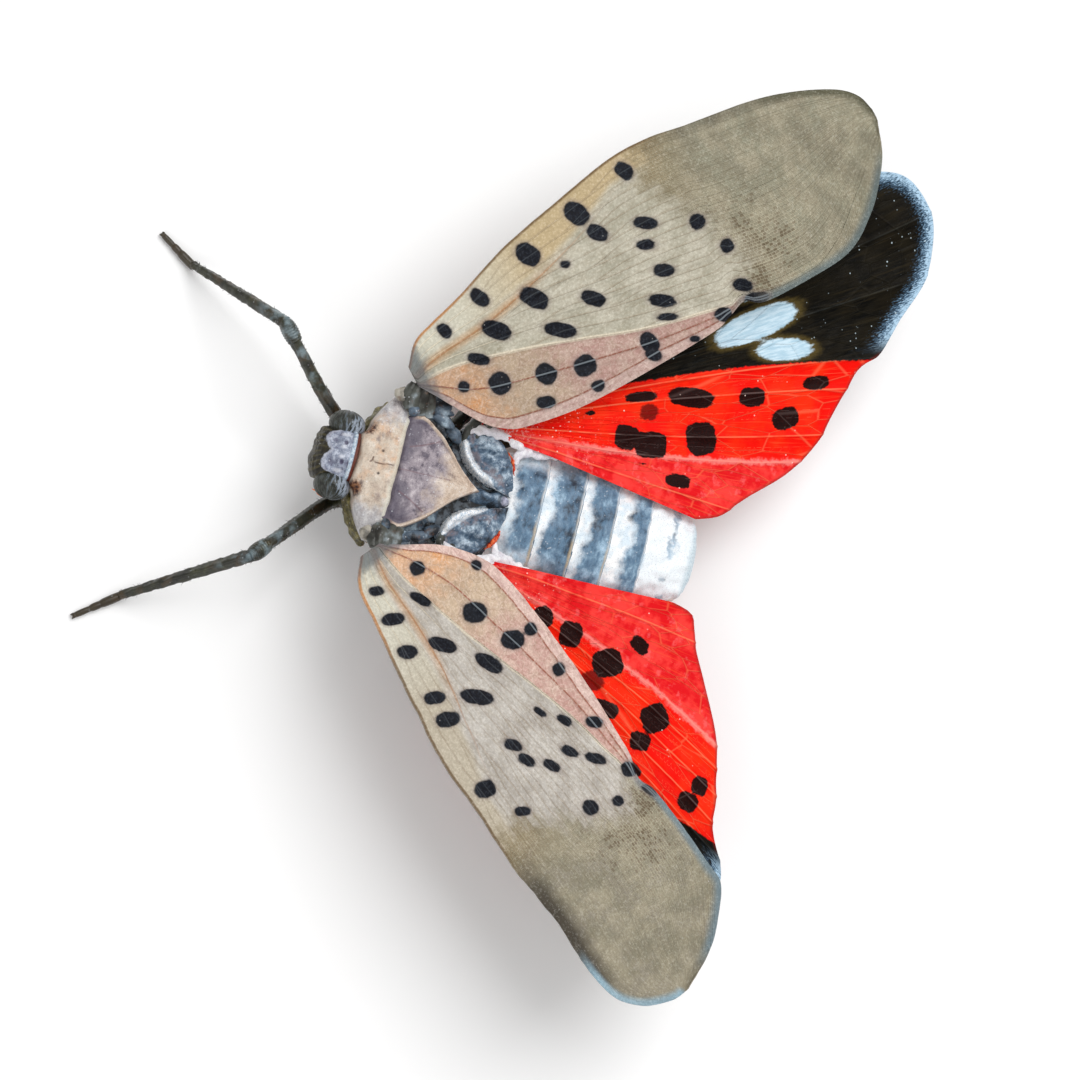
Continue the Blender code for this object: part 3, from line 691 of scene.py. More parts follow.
# The pronotum: a tan saddle of hard plate behind the head, with a short keel between two pits,
# a rolled hind hem and grey waxy ends; below it hang the olive plates that carry the forelegs.
PRONOTUM_FRONT = [(0, -4.8), (0.6, -4.84), (1.05, -4.82), (1.28, -4.6), (1.5, -4.5), (1.8, -4.45),
            (2.4, -4.16), (3, -3.78), (3.16, -3.66)]
PRONOTUM_BACK = [(0, -3.1), (0.8, -3.12), (1.5, -3.1), (2.2, -3.04), (2.6, -3.08), (2.85, -3.24),
            (3.1, -3.5), (3.16, -3.58)]
PRONOTUM_HALF = 3.14
PRONOTUM_STATIONS = 150
PRONOTUM_SIDES = 150


def larger(first, second):
    return maths("MAXIMUM", first, second)


def square_ring(power, count):
    """A rounded square of half width one, its points evenly spaced; power 1 is a circle."""
    turn = np.linspace(0, 2 * np.pi, 2001)
    c, s = np.cos(turn), np.sin(turn)
    curve = np.stack([np.sign(c) * np.abs(c) ** power, np.sign(s) * np.abs(s) ** power], axis=1)
    length = np.concatenate([[0], np.cumsum(np.linalg.norm(np.diff(curve, axis=0), axis=1))])
    even = np.linspace(0, length[-1], count + 1)[:-1]
    return np.interp(even, length, curve[:, 0]), np.interp(even, length, curve[:, 1])


def pronotum_finish():
    """Tan plate with rust stains, dark pits and seams, and grey ends."""
    material, shader = new_finish("tan_saddle", 0.5)
    here = body_place()
    x, y, z = split(here)
    seam, pit, hem = carried("marks")
    front, along, _ = carried("margins")
    aside = abs(x)
    colour, tone = mottled(here, 0.5, 0.04, (176, 158, 144), (205, 190, 173), (226, 216, 203))
    fine = noise(here, 0.12, 4, 0.65)
    rust = x * -0.035 + noise(here + (7, 3, 0), 0.55, 4, 0.6)
    stain = aside * 0.03 + noise(here + (1, 9, 4), 0.4, 4, 0.6)
    ends = step((tone - 0.5) * 1.2 + aside, 1.5, 2.3)
    grey, _ = mottled(here, 0.3, 0.05, (126, 124, 132), (174, 174, 180), (214, 215, 216))
    red = mix(step(fine, 0.4, 0.6), (74, 26, 14), (150, 82, 48))
    neck_seam = step(front, 0.1, 0.03) * step(aside, 1.7, 1.3)
    off_x, off_y = aside - 1.3, y + 4.62
    spread = (fine - 0.5) * 0.2 + (off_x * off_x + off_y * off_y)
    corner = step(spread, 0.16, 0.02) * step(z, -0.75, -0.45)
    olive, _ = mottled(here, 0.25, 0, (38, 36, 18), (92, 84, 44), (150, 140, 84))
    below = larger(step(z, -0.75, -1.1), step(along, 4, 5))
    colour = layered(colour,
        (step(rust, 0.44, 0.74, 0, 0.62), (210, 160, 116)),
        (step(stain, 0.56, 0.76, 0, 0.6), (104, 90, 96)),
        (ends * 0.8, grey),
        (step(pit, 0.09, 0.02, 0, 0.95), (38, 20, 20)),
        (step(seam, 0.05, 0.015, 0, 0.8), (92, 58, 44)),
        (step(hem, 0.14, 0.07, 0, 0.65), (216, 212, 196)),
        (neck_seam, red),
        (corner, mix(step(fine, 0.42, 0.58), (58, 26, 18), (150, 98, 58))),
        (below, olive))
    plate_surface(shader, colour, here, (226, 222, 210), 0.2, 0.4)
    return material


def build_pronotum():
    """The saddle, lofted from side to side as closed rings, and the plates below it."""
    share = np.sin(np.linspace(-0.5, 0.5, PRONOTUM_STATIONS) * np.pi)
    x = PRONOTUM_HALF * share
    off = np.abs(share)
    edge = smooth_line(PRONOTUM_FRONT)
    front = np.interp(np.abs(x), edge[:, 0], edge[:, 1])
    edge = smooth_line(PRONOTUM_BACK)
    back = np.interp(np.abs(x), edge[:, 0], edge[:, 1])
    top = 0.3 - 0.72 * off ** 1.9
    bottom = -2.6 + 1.5 * off ** 2.2
    y_part, z_part = square_ring(0.36, PRONOTUM_SIDES)
    y = 0.5 * (front + back)[:, None] + 0.5 * (back - front)[:, None] * y_part
    z = 0.5 * (top + bottom)[:, None] + 0.5 * (top - bottom)[:, None] * z_part
    grid = stacked(np.repeat(x[:, None], len(y_part), axis=1), y, z)
    upper = held(z_part * 1.2)[None, :]
    grid[..., 1] += 0.35 * held(-z_part)[None, :] * (1 - y_part)[None, :]
    gx = grid[..., 0]
    along = (y - front[:, None]) / (back - front)[:, None]
    keel = bell(gx, 0.05) * held((y + 4.25) / 0.2) * held((-3.3 - y) / 0.15)
    pits = np.minimum(np.hypot(gx + 0.46, y + 3.84), np.hypot(gx - 0.5, y + 3.82))
    seam = np.minimum(line_distance(gx, y, [(0.05, -4.2), (0.1, -3.85), (0, -3.3)]),
        line_distance(gx, y, [(0.12, -4.27), (0.05, -4.2), (-0.1, -4.17)]))
    hem = np.abs(back[:, None] - 0.07 - y)
    front_gap = y - front[:, None]
    relief = 0.1 * held(along) ** 1.5 - 0.05 * held(0.25 - along) * 4
    relief += 0.06 * keel - 0.1 * bell(pits, 0.08) + 0.03 * bell(hem, 0.05)
    relief -= 0.035 * bell(back[:, None] - 0.24 - y, 0.08)
    relief -= 0.08 * bump_at(np.abs(gx), y, (1.25, -3.95), (0.55, 0.16))
    relief += 0.06 * bump_at(np.abs(gx), y, (0.75, -4.4), (0.45, 0.14))
    relief -= 0.05 * bump_at(np.abs(gx), y, (2, -3.6), (0.3, 0.3))
    flat_part = held(np.minimum(along, 1 - along) / 0.12)
    relief += flat_part * (0.035 * lumps(grid, 0.8, 31) + 0.016 * lumps(grid, 0.3, 32)
        + 0.005 * lumps(grid, 0.12, 33))
    grid = lifted(grid, relief * (0.2 + 0.8 * upper))
    far = (1 - upper) * 2 + 0 * gx
    marks = with_ends(stacked(seam + far, pits + far, hem + far))
    margins = with_ends(stacked(front_gap + far, along, far))
    shapes = [closed_body(grid)]
    for side in (1, -1):
        plate = ellipsoid_grid((side * 2.1, -4.1, -1.75), (1.05 if side > 0 else 0.9, 0.4, 0.85), 36, 44)
        plate[..., 1] += 0.5 * (np.abs(plate[..., 0]) - 2)
        plate = lifted(plate, 0.05 * lumps(plate, 0.6, 34) + 0.006 * lumps(plate, 0.2, 35))
        plate[..., 2] = np.minimum(plate[..., 2], -0.4 - 0.25 * np.abs(np.abs(plate[..., 0]) - 2))
        shapes.append(closed_body(plate))
        rest = np.tile((9, 9, 9), (len(shapes[-1][0]), 1))
        marks = np.vstack([marks, rest])
        margins = np.vstack([margins, rest])
    add_piece("pronotum_saddle", join_shapes(shapes), pronotum_finish(), ("prothorax",),
        {"marks": marks, "margins": margins})


build_pronotum()


# The scutellum and the wing-bearing thorax: a pointed shield of purple-grey plate with pale rolled
# margins and three fine keels, over dark blue-grey side plates that carry the forewings' hinges.
SCUTELLUM_HALF = [(-3.3, 2.2), (-3, 2.28), (-2.5, 2.42), (-1.98, 2.12), (-1.45, 1.7), (-1.1, 1.32),
            (-0.55, 0.74), (-0.05, 0.34), (0.3, 0.1), (0.46, 0.02)]
SCUTELLUM_ROWS = 190
SCUTELLUM_COLUMNS = 150
THORAX_SECTIONS = [(-2.97, 2.4, -0.2, -3), (-2.6, 2.72, -0.22, -3.3), (-1.9, 2.72, -0.35, -3.45),
            (-1.2, 2.55, -0.55, -3.42), (-0.9, 2.45, -0.7, -3.38)]
HINGE_PLATES = [  # the hard plates round the forewing's hinge: centre, radii, turn in degrees
    ((2.68, -2.45, -0.06), (0.22, 0.62, 0.24), -10), ((2.95, -2.85, 0.1), (0.26, 0.42, 0.22), 30),
    ((2.5, -1.72, -0.24), (0.26, 0.6, 0.24), 18), ((2.12, -1.1, -0.46), (0.26, 0.52, 0.22), 40),
    ((2.85, -1.75, -0.3), (0.18, 0.5, 0.2), 4), ((2.5, -3.02, 0.16), (0.32, 0.24, 0.2), 0),
    ((3, -2.15, -0.16), (0.62, 0.7, 0.16), -16),
]


def two_sided(*values):
    """A field for both faces of a sheet, three numbers to a point."""
    one = np.stack([np.broadcast_to(v, values[0].shape) for v in values], axis=-1).reshape(-1, 3)
    return np.vstack([one, one])


def thin_sheet(upper, lower):
    """One closed sheet from two alike grids of points."""
    rows, columns = upper.shape[:2]
    count = rows * columns
    points = np.vstack([upper.reshape(-1, 3), lower.reshape(-1, 3)])
    top = grid_faces(rows, columns, closed=False)
    faces = [tuple(reversed(face)) for face in top] + [tuple(count + v for v in face) for face in top]
    rim = [i * columns for i in range(rows)]
    rim += [(rows - 1) * columns + j for j in range(1, columns)]
    rim += [i * columns + columns - 1 for i in range(rows - 2, -1, -1)]
    rim += list(range(columns - 2, 0, -1))
    faces += [(v, w, count + w, count + v) for v, w in zip(rim, rim[1:] + rim[:1])]
    return points, faces


def shield_plate(rows, columns, outline, top, under):
    """A domed plate over an outline of (y, half width): both faces and the distance in from its edge."""
    line = smooth_line(outline, 24)
    y = np.interp(np.linspace(0, 1, rows), np.linspace(0, 1, len(line)), line[:, 0])
    half = np.maximum(np.interp(y, line[:, 0], line[:, 1]), 0.012)
    share = np.sin(np.linspace(-0.5, 0.5, columns) * np.pi)
    x = half[:, None] * share[None, :]
    y_grid = np.repeat(y[:, None], columns, axis=1)
    inside = (half[:, None] - np.abs(x)) * 0.8
    end_gap = np.minimum(y - y[0], y[-1] + 0.1 - y)[:, None]
    inside = np.minimum(inside, np.maximum(end_gap, 0))
    z = top(x, y_grid, inside)
    upper = stacked(x, y_grid, z)
    lower = stacked(0.94 * x, y_grid, np.minimum(z - 0.05, under))
    return upper, lower, inside


def scutellum_finish():
    """Purple-grey plate, tan towards its point, with pale margins, keels and stains."""
    material, shader = new_finish("purple_shield", 0.5)
    here = body_place()
    _, y, _ = split(here)
    inside, keel, side = carried("marks")
    broad = noise(here, 0.7, 4, 0.6)
    colour, _ = mottled(here, 0.42, 0, (92, 84, 96), (152, 142, 149), (198, 188, 192))
    dark = side * -0.35 + ((broad - 0.5) * 1.6 + y)
    tan, _ = mottled(here, 0.4, 0.04, (160, 138, 122), (198, 178, 160), (222, 208, 194))
    wobble = (broad - 0.5) * 2.4 + y
    margin, _ = mottled(here, 0.3, 0.04, (160, 134, 118), (204, 184, 166), (226, 214, 202))
    on_margin = step(inside, 0.2, 0.12) * step(y, -3, -2.6)
    colour = layered(colour,
        (step(dark, -2.5, -3.2, 0, 0.75), (78, 72, 88)),
        (step(wobble, -1.8, -0.7), tan),
        (on_margin, margin),
        (step(inside, 0.035, 0, 0, 0.75), (92, 74, 72)),
        (step(keel, 0.05, 0.012, 0, 0.6), (112, 78, 84)))
    plate_surface(shader, colour, here, (190, 184, 196), 0.18, 0.35)
    return material


def scutellum_top(x, y, inside):
    """The shield's height, with its rolled margin, groove and keels."""
    rise = 0.2 - 0.05 * (y + 1.5) ** 2 * np.where(y > -1.5, 1, 0.2)
    height = rise - 0.035 * x ** 2 - 0.16 * held((-2.95 - y) / 0.3)
    height += 0.07 * bell(inside - 0.07, 0.06) - 0.05 * bell(inside - 0.24, 0.08)
    height -= 0.12 * bell(inside, 0.03)
    keels = scutellum_keels(x, y)
    height += 0.03 * bell(keels, 0.035)
    points = stacked(x, y, 0 * x)
    return height + 0.03 * lumps(points, 0.8, 41) + 0.012 * lumps(points, 0.3, 42)


def scutellum_keels(x, y):
    """Distance to the nearest of the three keels."""
    middle = line_distance(x, y, [(0.05, -2.95), (0, -2), (-0.05, -0.9)])
    sides = line_distance(np.abs(x), y, [(0.95, -2.8), (1.2, -2.2), (1.5, -1.65)])
    return np.minimum(middle, sides)


def side_plate_finish(name, dark, middle, pale, wax, amount, blotch=0.3, stain=0.6):
    """Dark glossy plate, blotched, with pale wax in its hollows."""
    material, shader = new_finish(name, 0.5, coat=0.2)
    here = body_place()
    broad = noise(here, 2.2 * blotch, 3, 0.5)
    colour = mix(step(broad, 0.36, 0.52), dark, middle)
    patch = noise(here + (5, 2, 1), 0.3, 4, 0.6)
    colour = layered(colour,
        (step(broad, 0.52, 0.72), pale),
        (step(patch, 0.58, 0.7, 0, stain), (96, 70, 54)))
    plate_surface(shader, colour, here, wax, amount, 0.28)
    return material


def turned(grid, centre, degrees, side):
    """A grid turned about a centre, seen from above, mirrored with its side."""
    angle = math.radians(degrees) * side
    c, s = math.cos(angle), math.sin(angle)
    near = grid - np.array(centre)
    return np.array(centre) + stacked(c * near[..., 0] - s * near[..., 1],
        s * near[..., 0] + c * near[..., 1], near[..., 2])


def build_thorax():
    """The shield and its side plates."""
    upper, lower, inside = shield_plate(SCUTELLUM_ROWS, SCUTELLUM_COLUMNS, SCUTELLUM_HALF, scutellum_top,
        -0.3)
    keels = scutellum_keels(upper[..., 0], upper[..., 1])
    marks = two_sided(inside, keels, np.abs(upper[..., 0]))
    add_piece("scutellum_shield", thin_sheet(upper, lower), scutellum_finish(),
        ("mesothorax",), {"marks": marks})
    sides = body_grid(THORAX_SECTIONS, 26)
    groove = -0.06 * bell(sides[..., 1] + 1.95 + 0.25 * sides[..., 2], 0.06)
    uneven = 0.05 * lumps(sides, 0.9, 43) + 0.006 * lumps(sides, 0.25, 44)
    sides = lifted(sides, groove + uneven)
    shapes = [closed_body(sides)]
    for side in (1, -1):
        for k, (centre, radii, degrees) in enumerate(HINGE_PLATES):
            centre = np.array(centre) * (side, 1, 1)
            plate = turned(ellipsoid_grid(centre, radii, 22, 30), centre, degrees, side)
            uneven = 0.02 * lumps(plate, 0.5, 50 + k)
            shapes.append(closed_body(lifted(plate, uneven)))
    finish = side_plate_finish("side_plate", (22, 27, 34), (84, 100, 116), (178, 198, 212), (196, 212, 224),
        0.32)
    add_piece("thorax_sides", join_shapes(shapes), finish)


build_thorax()


# The metanotum: the last thorax ring, sunk behind the shield, blue-grey with two white comma-shaped
# ridges, hollows and swollen lobes behind them, and a small round knob between.
METANOTUM_HALF = [(-1.35, 2.1), (-0.7, 2.52), (0.3, 2.66), (0.9, 2.52), (1.35, 2.1), (1.7, 1.5), (1.92, 0.8)]
COMMA = [(2.08, -0.62), (1.75, -0.56), (1.35, -0.42), (0.98, -0.08), (0.7, 0.38), (0.5, 0.98)]
COMMA_WIDE = 0.2
KNOB = (0, 1.68)


def side_of_line(x, y, points):
    """Distance to a smooth line, positive on its left as it runs, and the share of it passed there."""
    line = smooth_line(points, 16)
    way = np.gradient(line, axis=0)
    least = np.full(x.shape, 99)
    signed = np.zeros(x.shape)
    share = np.zeros(x.shape)
    for k, ((px, py), (wx, wy)) in enumerate(zip(line, way)):
        gap = np.hypot(x - px, y - py)
        turn = np.sign(wx * (y - py) - wy * (x - px))
        signed = np.where(gap < least, gap * turn, signed)
        share = np.where(gap < least, k / (len(line) - 1), share)
        least = np.minimum(least, gap)
    return signed, share


def metanotum_top(x, y, inside):
    """The sunk plate's height: recess in front, ridge, hollow and lobe behind it, and the knob."""
    aside = np.abs(x)
    comma, share = side_of_line(aside, y, COMMA)
    comma = -comma
    full = np.sin(np.pi * share) ** 0.7
    behind = 1 / (1 + np.exp(np.clip(-comma / 0.03, -30, 30)))
    height = -0.86 + 0.2 * behind - 0.25 * bell(comma + 0.2, 0.12)
    height += 0.24 * full * bell(comma - 0.04 - 0.1 * full, COMMA_WIDE * (0.5 + full))
    height -= 0.2 * bell(comma - 0.38, 0.12) * bump_at(aside, y, (1.3, 0.1), (0.7, 0.7))
    height += 0.24 * bump_at(aside, y, (1.3, 1.05), (0.75, 0.4))
    height += 0.22 * bump_at(aside, y, (2.2, 0.2), (0.26, 0.75))
    height -= 0.2 * bump_at(aside, y, (1.85, 0.75), (0.1, 0.5))
    height += 0.5 * bump_at(x, y, (0, 0.95), (0.26, 0.75))
    height += 0.34 * np.exp(-(np.hypot(x, y - KNOB[1]) / 0.2) ** 4)
    height -= 0.3 * bell(inside, 0.06)
    points = stacked(x, y, 0 * x)
    return height + 0.05 * lumps(points, 0.55, 71) + 0.014 * lumps(points, 0.2, 72)


def metanotum_finish():
    """Blue-grey with white ridges, painted shade in the hollows and a lilac knob."""
    material, shader = new_finish("sunk_plate", 0.5, coat=0.25)
    here = body_place()
    x, y, z = split(here)
    comma, knob, full = carried("marks")
    fine = noise(here, 0.1, 4, 0.7)
    # painted light: the plate's higher parts are mottled paler and its deeper parts darker
    lift = z * 0.5 + 0.33
    colour, _ = mottled(here, 0.75, lift, (20, 28, 38), (84, 106, 128), (200, 218, 232))
    # painted shade for the recess in front of the comma ridges: near black with teal flecks
    teal, _ = mottled(here, 0.2, -0.06, (18, 18, 18), (40, 40, 42), (60, 112, 128))
    bridge = step(abs(x), 0.45, 0.25) * step(y, 0.1, 0.5)
    # where the painted shade of the recess lies, leaving out the middle bridge
    hollow = step(comma, -0.08, -0.16) * (1 - bridge)
    lilac = step(comma, 0.2, 0.34) * step(comma, 0.75, 0.5) * step(noise(here, 0.3), 0.42, 0.58)
    toothed = (fine - 0.5) * 0.24 + comma
    inner = full * -0.32 + toothed
    ridge = step(toothed, -0.1, -0.03) * step(inner, 0.14, 0.02)
    white = mix(step(fine, 0.38, 0.55), (196, 214, 230), (252, 253, 254))
    thin = step(abs(comma + 0.13), 0.03, 0.012)
    pink = mix(step(fine, 0.4, 0.6), (138, 140, 160), (190, 192, 210))
    around = step(knob, 0.18, 0.22) * step(knob, 0.34, 0.26)
    colour = layered(colour,
        (hollow, teal),
        (lilac * 0.8, (128, 118, 124)),
        (ridge, white),
        (thin * 0.7, (176, 196, 208)),
        (step(knob, 0.23, 0.17), pink),
        (around * 0.6, (38, 34, 40)))
    plate_surface(shader, colour, here, (196, 212, 226), 0.3, 0.35)
    return material


def build_metanotum():
    """The sunk plate, the ring's sides, and the red skin that shows between it and the abdomen."""
    upper, lower, _ = shield_plate(190, 210, METANOTUM_HALF, metanotum_top, -1.3)
    comma, share = side_of_line(np.abs(upper[..., 0]), upper[..., 1], COMMA)
    knob = np.hypot(upper[..., 0], upper[..., 1] - KNOB[1])
    add_piece("metanotum_plate", thin_sheet(upper, lower), metanotum_finish(),
        ("metathorax",), {"marks": two_sided(-comma, knob, np.sin(np.pi * share) ** 0.7)})
    sections = [(-1, 2.35, -1.1, -3.35), (-0.2, 2.45, -1.08, -3.4), (0.6, 2.45, -1.08, -3.45),
        (1.2, 2.42, -1.1, -3.5), (1.85, 2.3, -1.15, -3.5)]
    sides = body_grid(sections, 22)
    sides = lifted(sides, 0.05 * lumps(sides, 0.9, 73) + 0.006 * lumps(sides, 0.25, 74))
    add_piece("metathorax_sides", closed_body(sides), bpy.data.materials["side_plate"])
    skin, shader = new_finish("joint_skin", 0.4)
    cloud = noise(body_place(), 0.12)
    feed(shader.inputs["Base Color"], mix(step(cloud, 0.4, 0.6), (196, 48, 22), (232, 112, 62)))
    raise_relief(shader, cloud, 0.05)
    folds = []
    for side, thick in ((1, 0.09), (-1, 0.05)):
        fold = tube_grid([(side * 1.2, 1.86, -0.86), (side * 1.55, 1.76, -0.8), (side * 1.85, 1.6, -0.82),
            (side * 2.1, 1.4, -0.92)], (0.4 * thick, thick, thick, 0.4 * thick), 16, 10)
        folds.append(closed_body(lifted(fold, 0.03 * lumps(fold, 0.2, 76))))
    add_piece("joint_folds", join_shapes(folds), skin)


build_metanotum()


# The abdomen: overlapping rings of plate, blue-grey and mottled, each dusted white along its front
# and whiter towards the tail, with a yellow soft strip low on the sides.
ABDOMEN_RINGS = [1.55, 3.3, 4.98, 6.51, 8.07, 10.6]
ABDOMEN_WHITE = [0.26, 0.14, 0.2, 0.42, 0.5]  # share of each ring that is white in front
ABDOMEN_SECTIONS = [(1.5, 2.25, -0.85, -3.4), (2.5, 2.5, -0.68, -3.9), (3.8, 2.58, -0.76, -4.2),
            (5.3, 2.6, -0.86, -4.3), (7, 2.42, -1.02, -4.2), (8.5, 2.15, -1.2, -3.9),
            (9.6, 1.85, -1.42, -3.55), (10.2, 1.5, -1.68, -3.3), (10.48, 0.9, -2.05, -2.9)]


def abdomen_finish():
    """Rings from their own places: white front, wavy edge, mottled blue band and ochre lip."""
    material, shader = new_finish("banded_rings", 0.55, coat=0.15)
    here = body_place()
    x, y, z = split(here)
    share, white_share, tail = carried("marks")
    cloud = noise(here, 0.6, 4, 0.55)
    fine = noise(here, 0.09, 4, 0.7)
    shift = share * -0.06 + (tail * 0.1 + 0.03)
    blue, tone = mottled(here * (0.7, 1, 1), 1, shift, (36, 50, 66), (92, 122, 148), (170, 200, 222))
    white = mix(step(cloud, 0.36, 0.6), (214, 228, 238), (252, 252, 252))
    middle = x * x * -2.2
    dip = maths("EXPONENT", middle) * 0.14
    wavy = (fine - 0.5) * 0.12 + ((cloud - 0.5) * 0.7 + share) - dip
    in_blue = step(wavy - white_share, -0.12, 0.16)
    flank = step(abs(x), 1.5, 2.4) * step(tail, 0.4, 0.1) * step(cloud, 0.3, 0.5, 0.5, 1)
    in_blue = in_blue * (1 - flank)
    last = step(y, 8.1, 8.2)
    rear = (cloud - 0.5) * 0.5 + share
    streak = step(rear, 0.34, 0.4) * step(rear, 0.5, 0.42)
    streak = streak * step(noise(here * (1, 0.3, 1), 0.9, 2), 0.44, 0.54)
    in_blue = mix(last, in_blue * step(share, 1, 0.9), streak * 0.75)
    colour = mix(in_blue, mix(last, white, (240, 246, 250)), blue)
    end = mix(step(fine, 0.4, 0.6), (150, 180, 196), (206, 224, 232))
    lip = step(share, 0.88, 0.94) * step(tail, 0.7, 0.5)
    low = step(z, -1.9, -2.5) * step(y, 10.3, 9.5)
    yellow = mix(step(tone, 0.35, 0.6), (214, 150, 34), (236, 190, 84))
    belly = step(z, -3.1, -3.5)
    dark = mix(step(share, 0.15, 0.4), (206, 200, 184), (44, 44, 46))
    colour = layered(colour,
        (step(y, 9.9, 10.3, 0, 0.75), end),
        (lip * step(cloud, 0.36, 0.56) * step(x, -1.2, 1.6, 0.1, 0.75), (178, 156, 118)),
        (low, yellow),
        (belly, dark))
    plate_surface(shader, colour, here, (226, 236, 244), 0.24, 0.4)
    return material


def build_abdomen():
    """One skin over all the rings, each stepping down behind its lip."""
    grid = body_grid(ABDOMEN_SECTIONS, 44, squareness=1)
    y = grid[..., 1]
    curve = 0.12 * (grid[..., 0] / 2.5) ** 2
    starts = np.array(ABDOMEN_RINGS)
    ring = np.clip(np.searchsorted(starts, y - curve, side="right") - 1, 0, len(starts) - 2)
    share = held((y - curve - starts[ring]) / (starts[ring + 1] - starts[ring]))
    relief = 0.12 * share ** 1.6 - 0.16 * held((share - 0.93) / 0.07) ** 2
    relief += 0.05 * np.sin(np.pi * share)
    relief += 0.05 * lumps(grid, 0.55, 81) + 0.018 * lumps(grid, 0.2, 82)
    relief *= held((10.4 - y) / 0.4)
    grid = lifted(grid, relief)
    white_share = np.array(ABDOMEN_WHITE)[ring]
    tail = held((y - 1.5) / 9)
    marks = stacked(share, white_share, tail)
    add_piece("abdomen_rings", closed_body(grid), abdomen_finish(),
        ("abdomen", "abdomen_tip"), {"marks": with_ends(marks)})


build_abdomen()


# The wing roots: bundles of narrow hard rods between the hinge plates and the wings, a pale scale
# over each forewing's, and drifts of white wax where the red hindwings leave the body.
FOREWING_RODS = [
    ([(2.4, -2.95, 0), (2.75, -3.1, 0.22), (3.15, -3.14, 0.36), (3.5, -3.1, 0.44)], 0.24),
    ([(2.4, -2.65, -0.05), (2.8, -2.76, 0.16), (3.15, -2.82, 0.34), (3.5, -2.86, 0.44)], 0.24),
    ([(2.4, -2.35, -0.1), (2.75, -2.42, 0.08), (3.1, -2.48, 0.24), (3.5, -2.56, 0.36)], 0.22),
    ([(2.5, -3.2, -0.05), (2.85, -3.34, 0.15), (3.2, -3.36, 0.32), (3.5, -3.3, 0.42)], 0.22),
]
HINDWING_RODS = [
    ([(2, -0.5, -0.75), (2.4, -0.5, -0.58), (2.8, -0.3, -0.48), (3.15, 0, -0.44)], 0.17),
    ([(2.1, -0.1, -0.8), (2.45, 0, -0.62), (2.8, 0.2, -0.5), (3.1, 0.5, -0.46)], 0.16),
]
WAX_RIBBONS = [  # path and half widths of each drift of wax
    ([(2.3, -0.55, -0.5), (2.58, -0.1, -0.46), (2.68, 0.5, -0.52), (2.66, 1.1, -0.6), (2.56, 1.7, -0.7),
      (2.4, 2.3, -0.78)], (0.08, 0.2, 0.26, 0.2, 0.28, 0.1)),
    ([(1.7, 1.75, -0.86), (2.15, 1.9, -0.84), (2.42, 2.3, -0.84), (2.5, 2.9, -0.9), (2.5, 3.5, -1)],
     (0.08, 0.2, 0.3, 0.24, 0.08)),
]
rod_finish = side_plate_finish("root_rods", (30, 28, 22), (74, 76, 70), (164, 176, 182), (200, 210, 216),
    0.15, 0.4)
scale_finish = side_plate_finish("root_scale", (104, 100, 92), (164, 158, 146), (214, 210, 200),
    (226, 224, 218), 0.2)
wax_finish = side_plate_finish("root_wax", (222, 218, 226), (244, 240, 246), (255, 253, 255),
    (252, 252, 253), 0.7, 0.5, 0)


def rod_bundle(rods, flip, seed):
    """Several rods side by side, waisted and uneven."""
    shapes = []
    for k, (path, thick) in enumerate(rods):
        rod = tube_grid(np.array(path) * flip, (0.8 * thick, thick, thick, 0.6 * thick), 24, 12, flat=1.15)
        uneven = 0.01 * lumps(rod, 0.4, seed + k)
        shapes.append(closed_body(lifted(rod, uneven)))
    return join_shapes(shapes)


for side, suffix in ((1, "left"), (-1, "right")):
    flip = np.array((side, 1, 1))
    add_piece("forewing_rods_" + suffix, rod_bundle(FOREWING_RODS, flip, 90), rod_finish)
    scale = ellipsoid_grid(np.array((2.98, -3.62, 0.16)) * flip, (0.3, 0.34, 0.18), 26, 36)
    scale = lifted(scale, 0.03 * lumps(scale, 0.3, 92))
    add_piece("tegula_scale_" + suffix, closed_body(scale), scale_finish,
        ("tegula_" + suffix,))
    add_piece("hindwing_rods_" + suffix, rod_bundle(HINDWING_RODS, flip, 110), rod_finish)
    drifts = []
    for k, (path, half_widths) in enumerate(WAX_RIBBONS):
        drift = tube_grid(np.array(path) * flip, half_widths, 32, 22)
        middle = drift.mean(axis=1, keepdims=True)[..., 2]
        drift[..., 2] = middle + 0.5 * (drift[..., 2] - middle)
        uneven = 0.05 * lumps(drift, 0.5, 130 + k) + 0.01 * lumps(drift, 0.2, 140 + k)
        drifts.append(closed_body(lifted(drift, uneven)))
    add_piece("root_wax_" + suffix, join_shapes(drifts), wax_finish)


